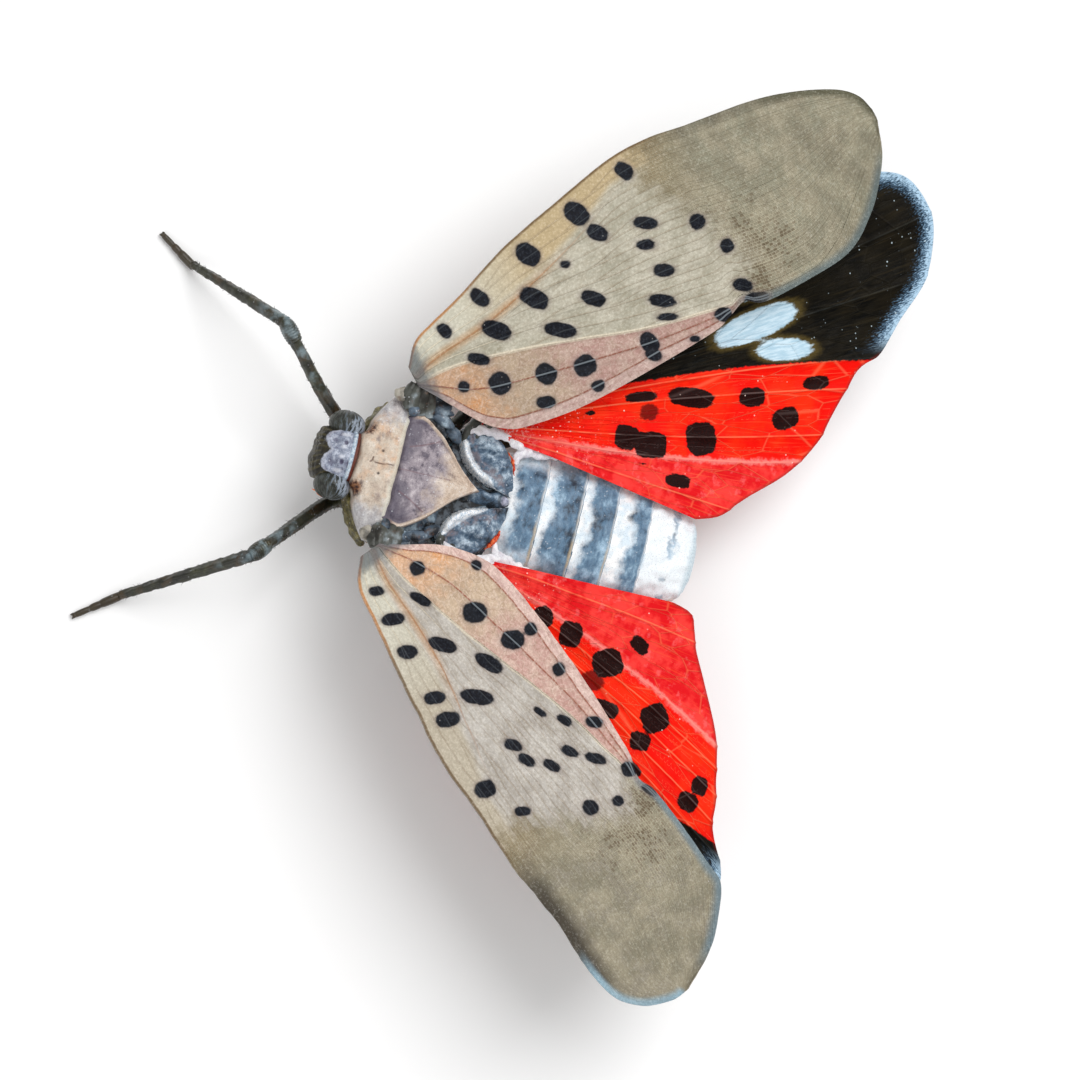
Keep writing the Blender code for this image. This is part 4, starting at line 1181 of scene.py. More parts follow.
# The forewings: leathery and waxy, stiffened by a branching set of veins, with a folded clavus along
# the hind edge and a dense net of small cells in the outer third. Both grow from the thorax's sides.
FOREWING_ROOT = (3.5, -3.4, 0.62)
FOREWING_STATIONS = 330
FOREWING_CAMBER = 0.22
MEMBRANE = 0.11  # thickness between the veins
FOREWINGS = {  # sweep, rise, tilt and fold in degrees; margins as (along, across)
    "right": {
        "side": -1, "sweep": 44.5, "rise": 6, "tilt": 13, "fold": 9,
        "front": [(0.1, 0.6), (0.8, 1.38), (1.7, 1.7), (3.4, 2.18), (6, 3.05), (8.7, 3.6),
            (11.4, 4.1), (13.3, 4.1), (15.1, 3.8), (17.9, 3.4), (19.8, 2.87), (21.5, 2.1),
            (22.3, 1.4), (22.6, 0.6)],
        "hind": [(0.1, -0.3), (0.6, -1.1), (1.6, -2.75), (2.3, -3.45), (3.3, -3.9), (6.3, -4.35),
            (11.8, -4.35), (13.1, -4.1), (14, -3.85), (14.8, -4.3), (17.2, -4.38),
            (19, -4.2), (20.4, -3.35), (21.5, -2.2), (22.2, -1.1), (22.6, 0.1)],
    },
    "left": {
        "side": 1, "sweep": 39.5, "rise": 2.5, "tilt": 23.5, "fold": 19.5,
        "front": [(0.1, 0.75), (0.8, 1.56), (1.6, 1.93), (3.3, 2.34), (6, 3), (8.4, 3.48),
            (11, 3.6), (13.6, 3.75), (16.2, 3.6), (18.3, 3.75), (19.65, 3.64),
            (20.5, 3.24), (21.2, 2.5), (21.7, 1.4), (21.8, 0.9)],
        "hind": [(0.1, -0.3), (0.65, -1.05), (1.6, -2.4), (2.95, -3.53), (4.4, -3.99),
            (8.3, -4.36), (12.6, -4.28), (14, -3.95), (14.9, -4.24), (16.9, -4.31),
            (18.7, -4.18), (19.6, -3.9), (20.8, -2.42), (21.4, -1.2), (21.8, 0.4)],
    },
}
SUTURE = [(0.1, -0.15), (1.9, -0.3), (4.5, -1), (7, -1.85), (9.5, -2.75), (12.1, -3.4),
          (14, -3.75), (18, -3.9), (22.6, -0.2)]
OUTER_CLAVAL = 0.5  # from the hind edge
MID_CLAVAL_SHARE = 0.6  # of the way from the hind edge to the suture
FOREWING_ROWS = (10, 18, 16, 14, 16, 18, 18)  # of points between neighbouring veins
VEIN_HEIGHTS = (0.03, 0.05, 0.06, 0.08, 0.04, 0.05, 0.09, 0.07)  # from the hind edge to the front
VEIN_WIDTHS = (0.06, 0.05, 0.06, 0.07, 0.05, 0.05, 0.09, 0.09)
PLEATS = 10  # across the corium, and as many veins once they have forked
NET_LANES = 58  # rows of small cells across the outer third
CORIUM_VEINS = ((0.22, 0.28), (0.4, 0.55), (0.27, 0.84))
NET_START = [(-4.4, 13.7), (-3.6, 14.1), (-2.6, 14.7), (-0.8, 14.3), (0.1, 13.8), (1, 13.2),
             (1.9, 12.5), (2.8, 12.4), (4.1, 12.8)]


# Spots: place along and across the wing, half length and half width, and the lean of the long axis.
FOREWING_SPOTS = {
    "right": [
        (2.1, 1.2, 0.36, 0.26, -71), (4, 1.7, 0.46, 0.3, -66), (6.6, 2.3, 0.58, 0.42, -60),
        (9.2, 2.8, 0.58, 0.43, -64), (9.6, 1.7, 0.49, 0.33, -51), (11.8, 3.4, 0.44, 0.33, -62),
        (7.8, 1.2, 0.22, 0.17, -29), (6, 0.6, 0.68, 0.39, -52), (4, 0.2, 0.68, 0.36, -49),
        (2.8, -0.5, 0.5, 0.25, -40), (8.2, -0.6, 0.57, 0.31, -45), (6.4, -1.1, 0.74, 0.31, -38),
        (11.6, 1.1, 0.55, 0.26, -33), (11.2, 0.3, 0.45, 0.23, -28), (11.4, -1, 0.48, 0.27, -29),
        (10.8, -2.1, 0.62, 0.27, -33), (10.7, -2.8, 0.48, 0.16, -26), (13.6, 0.1, 0.36, 0.34, -33),
        (14.3, -1.4, 0.31, 0.3, 0), (14.2, -3.2, 0.46, 0.27, -38), (14.5, -4, 0.55, 0.27, -19),
        (12.9, -3.9, 0.39, 0.32, -35), (11.3, -4.2, 0.25, 0.14, -28),
        (1.7, -1.2, 0.26, 0.25, 52), (3.1, -1.8, 0.48, 0.47, -10), (5, -2.4, 0.47, 0.44, -68),
        (6.6, -2.9, 0.51, 0.45, -3), (9.5, -3.4, 0.48, 0.37, -87), (9.4, -3.9, 0.37, 0.27, -46),
        (4.4, -3.4, 0.41, 0.26, -28), (6.7, -3.9, 0.31, 0.24, -10)],
    "left": [
        (1.6, 1.2, 0.36, 0.22, -67), (2.9, 1.4, 0.56, 0.27, -68), (4.3, 1.8, 0.45, 0.3, -65),
        (6.4, 2.1, 0.5, 0.28, -65), (7.4, 2.2, 0.58, 0.32, -68), (10.5, 2.7, 0.49, 0.37, -75),
        (2.9, -0.3, 0.52, 0.25, -32), (4.9, 0.2, 0.69, 0.34, -52), (6.6, -1.2, 0.68, 0.37, -33),
        (7.4, 0.4, 0.77, 0.34, -53), (9.4, -1.8, 0.35, 0.18, -27), (10.3, -2.6, 0.39, 0.23, -24),
        (11.1, -3.7, 0.4, 0.23, -48), (9.8, 0.4, 0.45, 0.26, -45), (10.6, 0.3, 0.45, 0.26, -40),
        (11.4, -0.6, 0.42, 0.26, -35), (11.4, -1.8, 0.45, 0.24, -39), (12.3, -2.7, 0.55, 0.26, -48),
        (13.7, -0.9, 0.42, 0.34, -77), (12.1, 1.9, 0.4, 0.2, -62), (14.2, -2.3, 0.32, 0.24, -77),
        (13.5, -3.8, 0.39, 0.33, -63), (14.7, -4, 0.38, 0.21, -28),
        (1.8, -1, 0.33, 0.31, -76), (4.6, -2, 0.55, 0.43, -59), (6.4, -2.7, 0.53, 0.39, -62),
        (3.1, -3.2, 0.25, 0.21, -30), (6.5, -3.6, 0.31, 0.27, -81), (8.5, -3.7, 0.31, 0.27, -81)],
}


def chance(vector):
    """One random value for each whole-number place."""
    return node("TexWhiteNoise", {"Vector": vector}, noise_dimensions="3D")


def smaller(first, second):
    return maths("MINIMUM", first, second)


def spot_distance(along, across, spots, power=2.3):
    """How far each point lies outside the nearest spot, negative inside it."""
    nearest = np.full(along.shape, 9)
    for centre_x, centre_y, half_long, half_wide, lean in spots:
        turn = math.radians(lean)
        dx, dy = along - centre_x, across - centre_y
        u = np.abs(dx * math.cos(turn) + dy * math.sin(turn)) / half_long
        v = np.abs(dy * math.cos(turn) - dx * math.sin(turn)) / half_wide
        outside = ((u ** power + v ** power) ** (1 / power) - 1) * math.sqrt(half_long * half_wide)
        nearest = np.minimum(nearest, outside)
    return nearest


def rows_across(lines, counts):
    """Rows from the first line to the last, each stretch crowding towards the lines at its ends."""
    rows = [lines[:1]]
    for k, count in enumerate(counts):
        share = np.arange(1, count + 1) / count
        share = share - 0.12 * np.sin(2 * np.pi * share)
        rows.append(lines[k] + share[:, None] * (lines[k + 1] - lines[k]))
    return np.concatenate(rows).T


def vein_lines_wiring(lane, lane_width, along, start, length, half):
    """Veins that fork: lines at whole numbers of Lane, and forks that swing half a lane away."""
    begin = chance(joined(maths("FLOOR", lane), 3.7)) * length + start
    swing = step(along, begin, begin + length)
    stems = maths("PINGPONG", lane, 0.5) * lane_width
    forks = maths("PINGPONG", lane - swing * 0.5, 0.5) * lane_width
    soft = half * 2.2
    return step(stems, soft, half * 0.4), step(forks, soft, half * 0.4) * step(swing, 0.02, 0.2)


def cell_net_wiring(lane, lane_width, along, cell_length, half):
    """A net of small oblong cells: lines along the lanes, and cross lines staggered lane by lane."""
    row = maths("FLOOR", lane)
    brick = along / cell_length + chance(joined(row, 8.2))
    rails = maths("PINGPONG", lane, 0.5) * lane_width
    rungs = maths("PINGPONG", brick, 0.5) * cell_length
    inner, outer = half * 0.4, half * 2
    net = larger(step(rails, outer, inner), step(rungs, outer, inner))
    return net, chance(joined(row, maths("FLOOR", brick)))


forking_veins = shared_effect("forking_veins", dict.fromkeys(("Lane", "Lane Width", "Along", "Fork Start",
    "Fork Length", "Half Width"), "Float"), {"Stems": "Float", "Forks": "Float"}, vein_lines_wiring)
cell_net = shared_effect("cell_net", dict.fromkeys(("Lane", "Lane Width", "Along", "Cell Length",
    "Half Width"), "Float"), {"Net": "Float", "Cell Shade": "Float"}, cell_net_wiring)


# How the two wings differ in the photo's light.
FOREWING_TONES = {
    "right": {"corium": ((196, 191, 174), (172, 168, 150)), "tip": (150, 148, 128), "clavus": 0.88,
        "costal": (192, 169, 127), "edge": (118, 92, 60), "hem": (96, 116, 122),
        "dark_edge": (0.62, 0.35), "radial_end": 9, "tip_hem": (92, 92, 72)},
    "left": {"corium": ((200, 195, 187), (174, 168, 160)), "tip": (150, 143, 128), "clavus": 0.99,
        "costal": (186, 175, 154), "edge": (110, 88, 60), "hem": (112, 138, 152),
        "dark_edge": (1.15, 0.9), "radial_end": 8, "tip_hem": (160, 194, 212)}}


def forewing_finish(suffix):
    """The wing's colours from its lines: corium, costal strip, clavus, net, spots and hems."""
    tones = FOREWING_TONES[suffix]
    material, shader = new_finish("forewing_" + suffix, 0.5, 0.1)
    along, across, face = carried("place")
    lane, corium_width, _ = carried("lanes")
    spots, radial, suture = carried("marks")
    front_edge, outline, beyond = carried("edges")
    mid_vein, outer_vein, _ = carried("claval")
    flat = joined(along, across, 0.31)
    streaked = flat * (0.35, 1, 1)
    cloud = noise(flat, 1.1, 4)
    grain = noise(flat, 0.09, 4, 0.65)
    streak = noise(streaked, 0.12, 4, 0.6)
    wander = noise(flat, 0.35) - 0.5
    colour = mix(step(cloud, 0.35, 0.68), *tones["corium"])
    costal = step(radial, 0.05, 0.5) * step(along, 14.5, 12.5)
    strip = mix(step(along, 2, 7.5), (208, 205, 188), tones["costal"])
    stems, forks = use_group(forking_veins, lane=lane * (PLEATS / 2), along=along,
        lane_width=corium_width / (PLEATS / 2), fork_start=3, fork_length=2.4, half_width=0.022)
    _, forks_two = use_group(forking_veins, lane=lane * PLEATS, along=along,
        lane_width=corium_width / PLEATS, fork_start=7.6, fork_length=2.4, half_width=0.017)
    veins = larger(larger(stems, forks), forks_two)
    in_corium = step(suture, 0, 0.12)
    veins = veins * in_corium
    near_root = step(along, 5.5, 1.5)
    radial_band = step(abs(wander * 0.15 + radial), 0.34, 0.04)
    radial_band = radial_band * step(along, tones["radial_end"], 0.5 * tones["radial_end"])
    radial_line = step(abs(radial), 0.06, 0.02) * step(along, 11.5, 5)
    pink = mix(step(noise(flat, 0.5, 4), 0.38, 0.66), (200, 158, 148), (214, 182, 168))
    orange = mix(step(cloud, 0.4, 0.62), (226, 164, 112), (218, 176, 142))
    tan = mix(step(cloud, 0.4, 0.62), (206, 182, 156), (190, 166, 142))
    pink = mix(step(wander * 3 + along, 7, 4), pink, tan)
    clavus = mix(step(wander * 3 + along, 3.8, 1.6), pink, orange)
    colour = layered(colour,
        (step(streak, 0.42, 0.7, 0, 0.35), (150, 136, 112)),
        (costal * 0.85, strip),
        (veins * step(cloud, 0.3, 0.6, 0.12, 0.4), (158, 138, 114)),
        (veins * near_root * 0.7, (232, 224, 200)),
        (radial_band * 0.55, (198, 152, 104)),
        (radial_line * 0.6, (160, 104, 56)))
    strip = mix(step(streak, 0.4, 0.65), (226, 196, 186), (204, 168, 160))
    red_line = step(smaller(abs(mid_vein), abs(outer_vein)), 0.05, 0.015)
    creased = flat + joined(wander * 0.5, cloud * 0.4)
    crackle = cells(creased, 0.5, "DISTANCE_TO_EDGE")
    pale_crease = cells(creased, 0.28, "DISTANCE_TO_EDGE")
    clavus = layered(clavus,
        (step(outer_vein, 0.03, -0.06), strip),
        (red_line * 0.85, (150, 78, 56)),
        (step(crackle, 0.05, 0, 0, 0.4), (158, 126, 104)),
        (step(pale_crease, 0.07, 0, 0, 0.35), (236, 216, 200)))
    clavus = clavus * ((tones["clavus"] ** 2.2,) * 3)
    ridge = step(abs(suture), 0.11, 0.04)
    ragged = wander * 1.6 + beyond
    rag_lane = chance(joined(maths("FLOOR", lane * 24), 1.3))
    ragged = (rag_lane - 0.5) * 0.5 + ragged
    in_net = step(ragged, -0.9, 0.7)
    net, shade = use_group(cell_net, lane=lane * NET_LANES, along=along,
        lane_width=corium_width / NET_LANES, cell_length=0.18, half_width=0.018)
    clumps = noise(flat * (1, 0.55, 1), 0.8, 3)
    near_start = step(beyond, 3.4, 0.3)
    hindward = step(across, 1.8, -2)
    brown_share = near_start * hindward * 0.75 + step(clumps, 0.45, 0.75, 0, 0.25)
    brown = step(shade - brown_share, 0.12, -0.12)
    bold = step(beyond, 7.5, 0.4, 0.45, 1) * step(across, 2.5, -2, 0.4, 1)
    tip = mix(step(cloud, 0.35, 0.65), tones["tip"], (138, 133, 114))
    cell = mix(brown * (bold * 0.85), mix(step(shade, 0.2, 0.9, 0, 0.5), tip, (136, 128, 106)),
        (102, 86, 64))
    gold = step(beyond, 2.6, 0.2) * step(across, 0, 3)
    rails = mix(step(cloud, 0.35, 0.7), (186, 178, 152), (168, 162, 140))
    cell = layered(cell,
        (step(clumps, 0.4, 0.68, 0, 0.5), (184, 174, 150)),
        (gold * 0.55, (140, 118, 78)))
    outer = mix(net * (bold * step(clumps, 0.35, 0.6, 0.4, 0.85)), cell, rails)
    distal = step(along, 12.5, 15)
    hind_hem = step(outline, 0.5, 0.1) * (distal * step(front_edge, 1.2, 3))
    reach, strength = tones["dark_edge"]
    dark_front = step(front_edge, reach, 0.2 * reach) * step(along, 12.6, 15.5)
    dark_front = dark_front * step(along, 20.8, 18.6)
    tip_hem = step(front_edge, 0.42, 0.1) * step(along, 17.6, 19.2)
    edge = step(front_edge, 0.13, 0.05) * step(along, 14.5, 12)
    spot_edge = wander * 0.16 + spots
    halo = step(spot_edge, 0.2, 0, 0, 0.35)
    dark = step(spot_edge, 0.045, -0.05)
    spot = mix(step(grain, 0.4, 0.66), (10, 13, 21), (24, 30, 41))
    flecks = cells(flat, 0.33)
    fleck = step(flecks, 0.12, 0.04) * step(cloud, 0.5, 0.7)
    off_spots = 1 - dark * 0.85
    near_body = wander * 0.7 + along
    spot = mix(larger(veins, red_line) * step(suture, 0.1, -0.1, 0.15, 0.8), spot, (120, 128, 134))
    colour = layered(colour,
        (step(suture, 0.03, -0.05), clavus),
        (ridge * 0.85, (226, 214, 192)),
        (in_net, outer),
        (hind_hem * 0.8, tones["hem"]),
        (dark_front * strength, (50, 45, 40)),
        (tip_hem * 0.85, tones["tip_hem"]),
        (edge * 0.85, mix(step(along, 2, 5), (196, 128, 64), tones["edge"])),
        (halo, (134, 120, 118)),
        (dark * step(beyond, 1.5, 0.2, 0.6, 1), spot),
        (fleck * 0.5, (236, 232, 226)),
        (step(grain, 0.38, 0.62, 0.2, 0) * off_spots, (96, 84, 70)),
        (step(grain, 0.5, 0.75, 0, 0.22) * off_spots, (244, 238, 226)),
        (step(near_body, 1.1, 0.4, 0, 0.8), (92, 100, 106)))
    under = mix(0.45, colour, (176, 172, 168))
    colour = mix(step(face, -0.2, 0.2), under, colour)
    feed(shader.inputs["Base Color"], colour)
    feed(shader.inputs["Roughness"], step(grain, 0.3, 0.7, 0.42, 0.62))
    height = streak * 0.4 + (net * in_net * 0.6 + (veins * 0.5 + grain * 0.35))
    raise_relief(shader, height, 0.05, 0.8)
    return material


def forewing_axes(wing):
    """Root to tip, towards the front edge, and up out of the face."""
    side = wing["side"]
    sweep, rise, tilt = (math.radians(wing[key]) for key in ("sweep", "rise", "tilt"))
    along = np.array([side * math.sin(sweep) * math.cos(rise), math.cos(sweep) * math.cos(rise),
        math.sin(rise)])
    level = np.array([side * math.cos(sweep), -math.sin(sweep), 0])
    face = np.cross(along, level)
    face *= math.copysign(1, face[2])
    across = level * math.cos(tilt) + face * math.sin(tilt)
    return along, across, face * math.cos(tilt) - level * math.sin(tilt)


def sheet_place(x, y):
    """Place on a sheet, and its face: one on the upper side, minus one on the lower."""
    place = two_sided(x, y, 1)
    place[len(place) // 2:, 2] = -1
    return place


def vein_ridges(y, lines, heights, widths):
    """The height that raised veins add, from how far each point lies across from each line."""
    total = np.zeros(y.shape)
    for line, height, width in zip(lines, heights, widths):
        total = np.maximum(total, height * bell(y - line[:, None], width))
    return total


def build_forewing(suffix):
    """One forewing as a thin sheet with raised veins, sagging a little between them."""
    wing = FOREWINGS[suffix]
    along, across, out = forewing_axes(wing)
    fold = math.radians(wing["fold"])
    clavus_across = across * math.cos(fold) - out * math.sin(fold)
    clavus_out = out * math.cos(fold) + across * math.sin(fold)
    root = np.array(FOREWING_ROOT) * (wing["side"], 1, 1)
    front, hind, suture = smooth_line(wing["front"]), smooth_line(wing["hind"]), smooth_line(SUTURE)
    s = np.linspace(0, 1, FOREWING_STATIONS)
    start, end = wing["front"][0][0], wing["front"][-1][0]
    x = start + (end - start) * (0.55 * s + 0.225 * (1 - np.cos(np.pi * s)))
    y_front = np.interp(x, front[:, 0], front[:, 1])
    y_hind = np.minimum(np.interp(x, hind[:, 0], hind[:, 1]), y_front - 0.35)
    y_suture = np.interp(x, suture[:, 0], suture[:, 1])
    y_suture = np.minimum(np.maximum(y_suture, y_hind + 0.3), y_front - 0.1)
    breadth = y_suture - y_hind
    outer = y_hind + np.minimum(OUTER_CLAVAL, 0.32 * breadth)
    middle = y_hind + MID_CLAVAL_SHARE * breadth
    outward = held(x / 11)
    corium = [y_suture + (near + (far - near) * outward) * (y_front - y_suture)
        for near, far in CORIUM_VEINS]
    lines = [y_hind, outer, middle, y_suture, *corium, y_front]
    y = rows_across(np.array(lines), FOREWING_ROWS)
    x_grid = np.repeat(x[:, None], y.shape[1], axis=1)
    fade = np.clip(1 - (x - 11) / 5, 0.25, 1)[:, None]
    ridge = vein_ridges(y, lines, VEIN_HEIGHTS, VEIN_WIDTHS) * fade
    share = (y - y_suture[:, None]) / (y_front - y_suture)[:, None]
    pleats = 0.02 * np.cos(2 * np.pi * share * PLEATS) * held((x - 3) / 4)[:, None]
    flat = stacked(x_grid, y, np.zeros_like(y))
    sag = 0.035 * lumps(flat, 2.2, 11) + 0.012 * lumps(flat, 0.6, 12)
    mid = root + along * x_grid[..., None] + across * np.maximum(y, y_suture[:, None])[..., None]
    behind = np.minimum(y - y_suture[:, None], 0)[..., None]
    mid = mid + clavus_across * behind
    swell = np.sin(np.pi * held(share)) * np.sin(np.pi * s)[:, None]
    mid = mid + out * (FOREWING_CAMBER * swell)[..., None]
    normal = np.where(behind < 0, clavus_out, out)
    taper = np.clip(np.minimum(y - y_hind[:, None], y_front[:, None] - y) / 0.12, 0.3, 1)
    upper = mid + normal * (sag + pleats + taper * 0.5 * MEMBRANE + ridge)[..., None]
    lower = mid + normal * (sag + pleats - taper * 0.5 * MEMBRANE - 0.4 * ridge)[..., None]
    rim = np.vstack([np.column_stack([x, y_front]), np.column_stack([x, y_hind])])
    outline = edge_distance(x_grid, y, rim)
    front_edge = edge_distance(x_grid, y, np.column_stack([x, y_front]))
    net = np.array(NET_START)
    beyond = x_grid - np.interp(y, net[:, 0], net[:, 1])
    spots = spot_distance(x_grid, y, FOREWING_SPOTS[suffix])
    fields = {"place": sheet_place(x_grid, y),
        "lanes": two_sided(share, (y_front - y_suture)[:, None], 1),
        "marks": two_sided(spots, y - corium[2][:, None], y - y_suture[:, None]),
        "edges": two_sided(front_edge, outline, beyond),
        "claval": two_sided(y - middle[:, None], y - outer[:, None], y - y_hind[:, None])}
    add_piece("forewing_sheet_" + suffix, thin_sheet(upper, lower), forewing_finish(suffix),
        ("forewing_" + suffix,), fields)


for wing_side in ("left", "right"):
    build_forewing(wing_side)


# The hindwings: thin, pleated fans of membrane below the forewings, red with dark spots, a black
# outer part with a white band, and a fringe of fine bristles along the rim.
HINDWING_ROOT = (2.7, -0.6, -0.47)
HINDWING_NECK = 0.55
HINDWING_STATIONS = 250
HINDWING_LIFT = 0.6
FAN_THICK = 0.07
FOLD_VEIN = 2  # the vein along which the fan folds
HINDWINGS = {  # edges and spots as (degrees from straight back, radius) and (out, back)
    "right": {
        "side": -1, "climb": 0.219, "fall": -0.114,
        "edge": [(-5.6, 10.6), (-3, 11.6), (0.7, 12.26), (4, 13), (8.8, 14.4), (14, 15.5),
            (17.3, 16), (22, 16.9), (24.4, 17.5), (25.8, 18.5), (29.8, 19.8),
            (33.3, 21.2), (38, 22.1), (41.5, 22.2), (44.6, 21.8), (47, 20.6), (50, 18.2)],
        "veins": ((-2, -1), (2.6, 10.5), (11, 15), (24.6, 21.6), (29.8, 25.3), (33.5, 33.5),
            (39, 40), (44, 45.5)),
        "black_start": (6, 30.1, 25.3, 17.4),
        "spots": [(3.2, 6.9, 0.7, 0.21, 69), (1.9, 4.9, 0.24, 0.11, 73), (3.8, 9, 0.98, 0.4, 80),
            (4.6, 11.6, 0.58, 0.4, 74), (6, 14.2, 0.58, 0.28, 67), (4.2, 13.3, 0.62, 0.45, 60),
            (1.4, 6.7, 0.54, 0.52, 85), (1.4, 7.8, 0.74, 0.56, 75), (2.3, 9.9, 0.69, 0.66, -27),
            (0.3, 9.4, 0.57, 0.28, 83), (0.5, 7.7, 0.2, 0.07, 74), (3.9, 4.6, 0.5, 0.34, 60)],
        "brown_spots": [(2.7, 7.4, 0.43, 0.34, 74)],
        "white": [(7.49, 10.87, 1.95, 0.6, 52), (6.9, 12.4, 1.25, 0.46, 71), (9.3, 10.6, 1.7, 0.6, 50),
            (11, 10.2, 1.5, 0.6, 46)],
    },
    "left": {
        "side": 1, "climb": 0.059, "fall": -0.129,
        "edge": [(-3.8, 10.5), (-2.4, 11.4), (0.5, 11.7), (4.4, 12), (8.1, 12.6), (14, 13.8),
            (17, 14.35), (21, 15), (25.8, 15.85), (29, 16.4), (32, 17.8),
            (34.3, 18.35), (37, 18.6), (40, 18), (44, 16.4)],
        "veins": ((0, 3), (8.6, 18.3), (15, 21.5), (21.5, 25), (26.5, 28.5), (31, 31.5),
            (35, 36), (39.5, 40.5)),
        "black_start": (12, 35, 30.2, 17),
        "spots": [(1.5, 5, 0.48, 0.44, -55), (1.8, 6.4, 0.54, 0.51, 0), (2.5, 8.3, 0.68, 0.59, -65),
            (4.4, 8.6, 0.58, 0.34, 84), (4.2, 10.8, 0.63, 0.59, -56), (5.3, 10.4, 0.47, 0.39, 90),
            (6.4, 13.4, 0.41, 0.36, 0), (7.2, 13, 0.46, 0.39, 74), (1.4, 9.5, 0.46, 0.32, 66),
            (6.6, 10.2, 0.5, 0.4, 60), (5.2, 7.6, 0.5, 0.4, 60)],
        "brown_spots": [(3.4, 7.8, 0.52, 0.43, -68)],
        "white": [(8.4, 11.6, 1.2, 0.5, 52)],
    },
}


def hindwing_finish(suffix):
    """Red membrane with dark spots, fine orange net and wax specks; black outer part, blue rim."""
    material, shader = new_finish("hindwing_" + suffix, 0.5, 0.06)
    out, back, face = carried("place")
    angle, radius, rim = carried("fan")
    spots, brown, white = carried("marks")
    black, anal, vein = carried("zones")
    flat = joined(out, back, 0.31)
    rays = joined(angle * 0.3, radius * 0.16)
    cloud = noise(flat, 1.3)
    grain = noise(flat, 0.08, 4, 0.65)
    streak = noise(rays, 0.13, 3, 0.6)
    wander = noise(flat, 0.22, 4, 0.6) - 0.5
    red = mix(step(cloud, 0.38, 0.66), (240, 14, 3), (250, 42, 8))
    lobe = mix(step(noise(flat, 0.7, 4), 0.38, 0.62), (222, 18, 26), (246, 62, 56))
    colour = mix(step(anal, -0.12, 0.12), red, lobe)
    fan_place = joined(angle * 0.3, radius * 0.45)
    net = cells(fan_place, 1, "DISTANCE_TO_EDGE", jitter=0.9)
    lines = step(net, 0.026, 0)
    distal = step(radius, 5, 11, 0.05, 0.4)
    main = step(abs(vein), 0.05, 0.01) * step(noise(flat, 0.9), 0.3, 0.55, 0.2, 0.6)
    fine = noise(joined(angle * 0.3, radius * 0.05), 0.12, 2, 0.6)
    crease = step(abs(wander * 0.5 + anal), 0.22, 0.02) * step(radius, 2, 6, 0.1, 0.6)
    bloom = step(noise(flat, 0.45, 4, 0.6), 0.56, 0.68) * step(anal, -0.3, 0.3)
    edge = wander * 0.22 + spots
    spot = mix(step(grain, 0.42, 0.68), (26, 5, 4), (44, 12, 8))
    brown_edge = wander * 0.3 + brown
    dark = mix(step(streak, 0.34, 0.66), (3, 3, 2), (20, 17, 10))
    ragged = wander * 0.2 + black
    pale = mix(step(streak, 0.35, 0.65), (206, 228, 240), (172, 203, 220))
    white_edge = wander * 0.25 + ((streak - 0.5) * 0.22 + white)
    halo = step(white_edge, 0.35, 0, 0, 0.6) * step(ragged, 0, 0.1)
    white_mask = step(white_edge, 0.06, -0.08) * step(ragged, 0, 0.08)
    bristles = noise(joined(angle * 0.3, rim * 0.35), 0.045, 2, 0.7)
    hem_depth = (bristles - 0.5) * 1.7 + rim
    black_hem = step(hem_depth, 0.75, 0.15) * step(black, 0.2, 1.2)
    hem = mix(step(hem_depth, 0, 0.45), (178, 208, 230), (84, 116, 144))
    red_hem = step(rim, 0.16, 0.04) * step(black, 0.5, -0.3, 0, 0.55)
    dots = cells(flat, 0.42)
    speck_seed = step(noise(flat, 1.6, 2), 0.5, 0.62)
    speck = step(dots, 0.1, 0.05) * speck_seed
    beads = step(cells(flat, 0.13, "F1"), 0.3, 0.16) * step(noise(flat, 0.2), 0.52, 0.58)
    row = step(abs(vein), 0.42, 0.1) * step(radius, 1.2, 2.2) * step(radius, 6, 4.2)
    speck = larger(speck, beads * row)
    snow = step(cells(flat, 0.3), 0.13, 0.06) * step(black, 0.1, 0.6)
    snow = snow * step(noise(flat, 0.5, 2), 0.46, 0.56)
    speck = larger(speck, snow * 0.7)
    speck_colour = mix(step(black, 0, 0.3), (255, 226, 214), (214, 232, 240))
    root_wax = step(noise(flat, 0.12, 4, 0.7), 0.5, 0.62) * step(radius, 3.4, 0.8)
    # the paler brown streaks (first layer) over the black part are painted sheen
    dark = layered(dark,
        (step(fine, 0.52, 0.7, 0, 0.5), (44, 37, 22)),
        (step(cloud, 0.4, 0.7, 0, 0.3), (38, 31, 16)),
        (main * 0.18, (104, 108, 104)),
        (lines * 0.04, (90, 86, 76)))
    spot = mix(larger(main, lines * 0.25) * 0.55, spot, (142, 120, 116))
    colour = layered(colour,
        (lines * distal, (255, 122, 84)),
        (main, (255, 132, 92)),
        (step(fine, 0.56, 0.68, 0, 0.3), (255, 92, 50)),
        (crease, (255, 158, 150)),
        (bloom * 0.3, (255, 132, 132)),
        (step(brown_edge, 0.05, -0.06, 0, 0.85), (84, 8, 6)),
        (step(edge, 0.03, -0.03), spot),
        (step(ragged, -0.03, 0.05), dark),
        (halo, (104, 88, 44)),
        (white_mask, pale),
        (black_hem, hem),
        (red_hem, (150, 40, 36)),
        (speck * 0.8, speck_colour),
        (root_wax * 0.8, (248, 236, 232)))
    under = mix(0.2, colour, (150, 120, 118))
    colour = mix(step(face, -0.2, 0.2), under, colour)
    feed(shader.inputs["Base Color"], colour)
    feed(shader.inputs["Roughness"], step(grain, 0.3, 0.7, 0.36, 0.58))
    height = grain * 0.3 + (lines * 0.6 + streak * 0.6)
    raise_relief(shader, height, 0.05, 0.8)
    return material


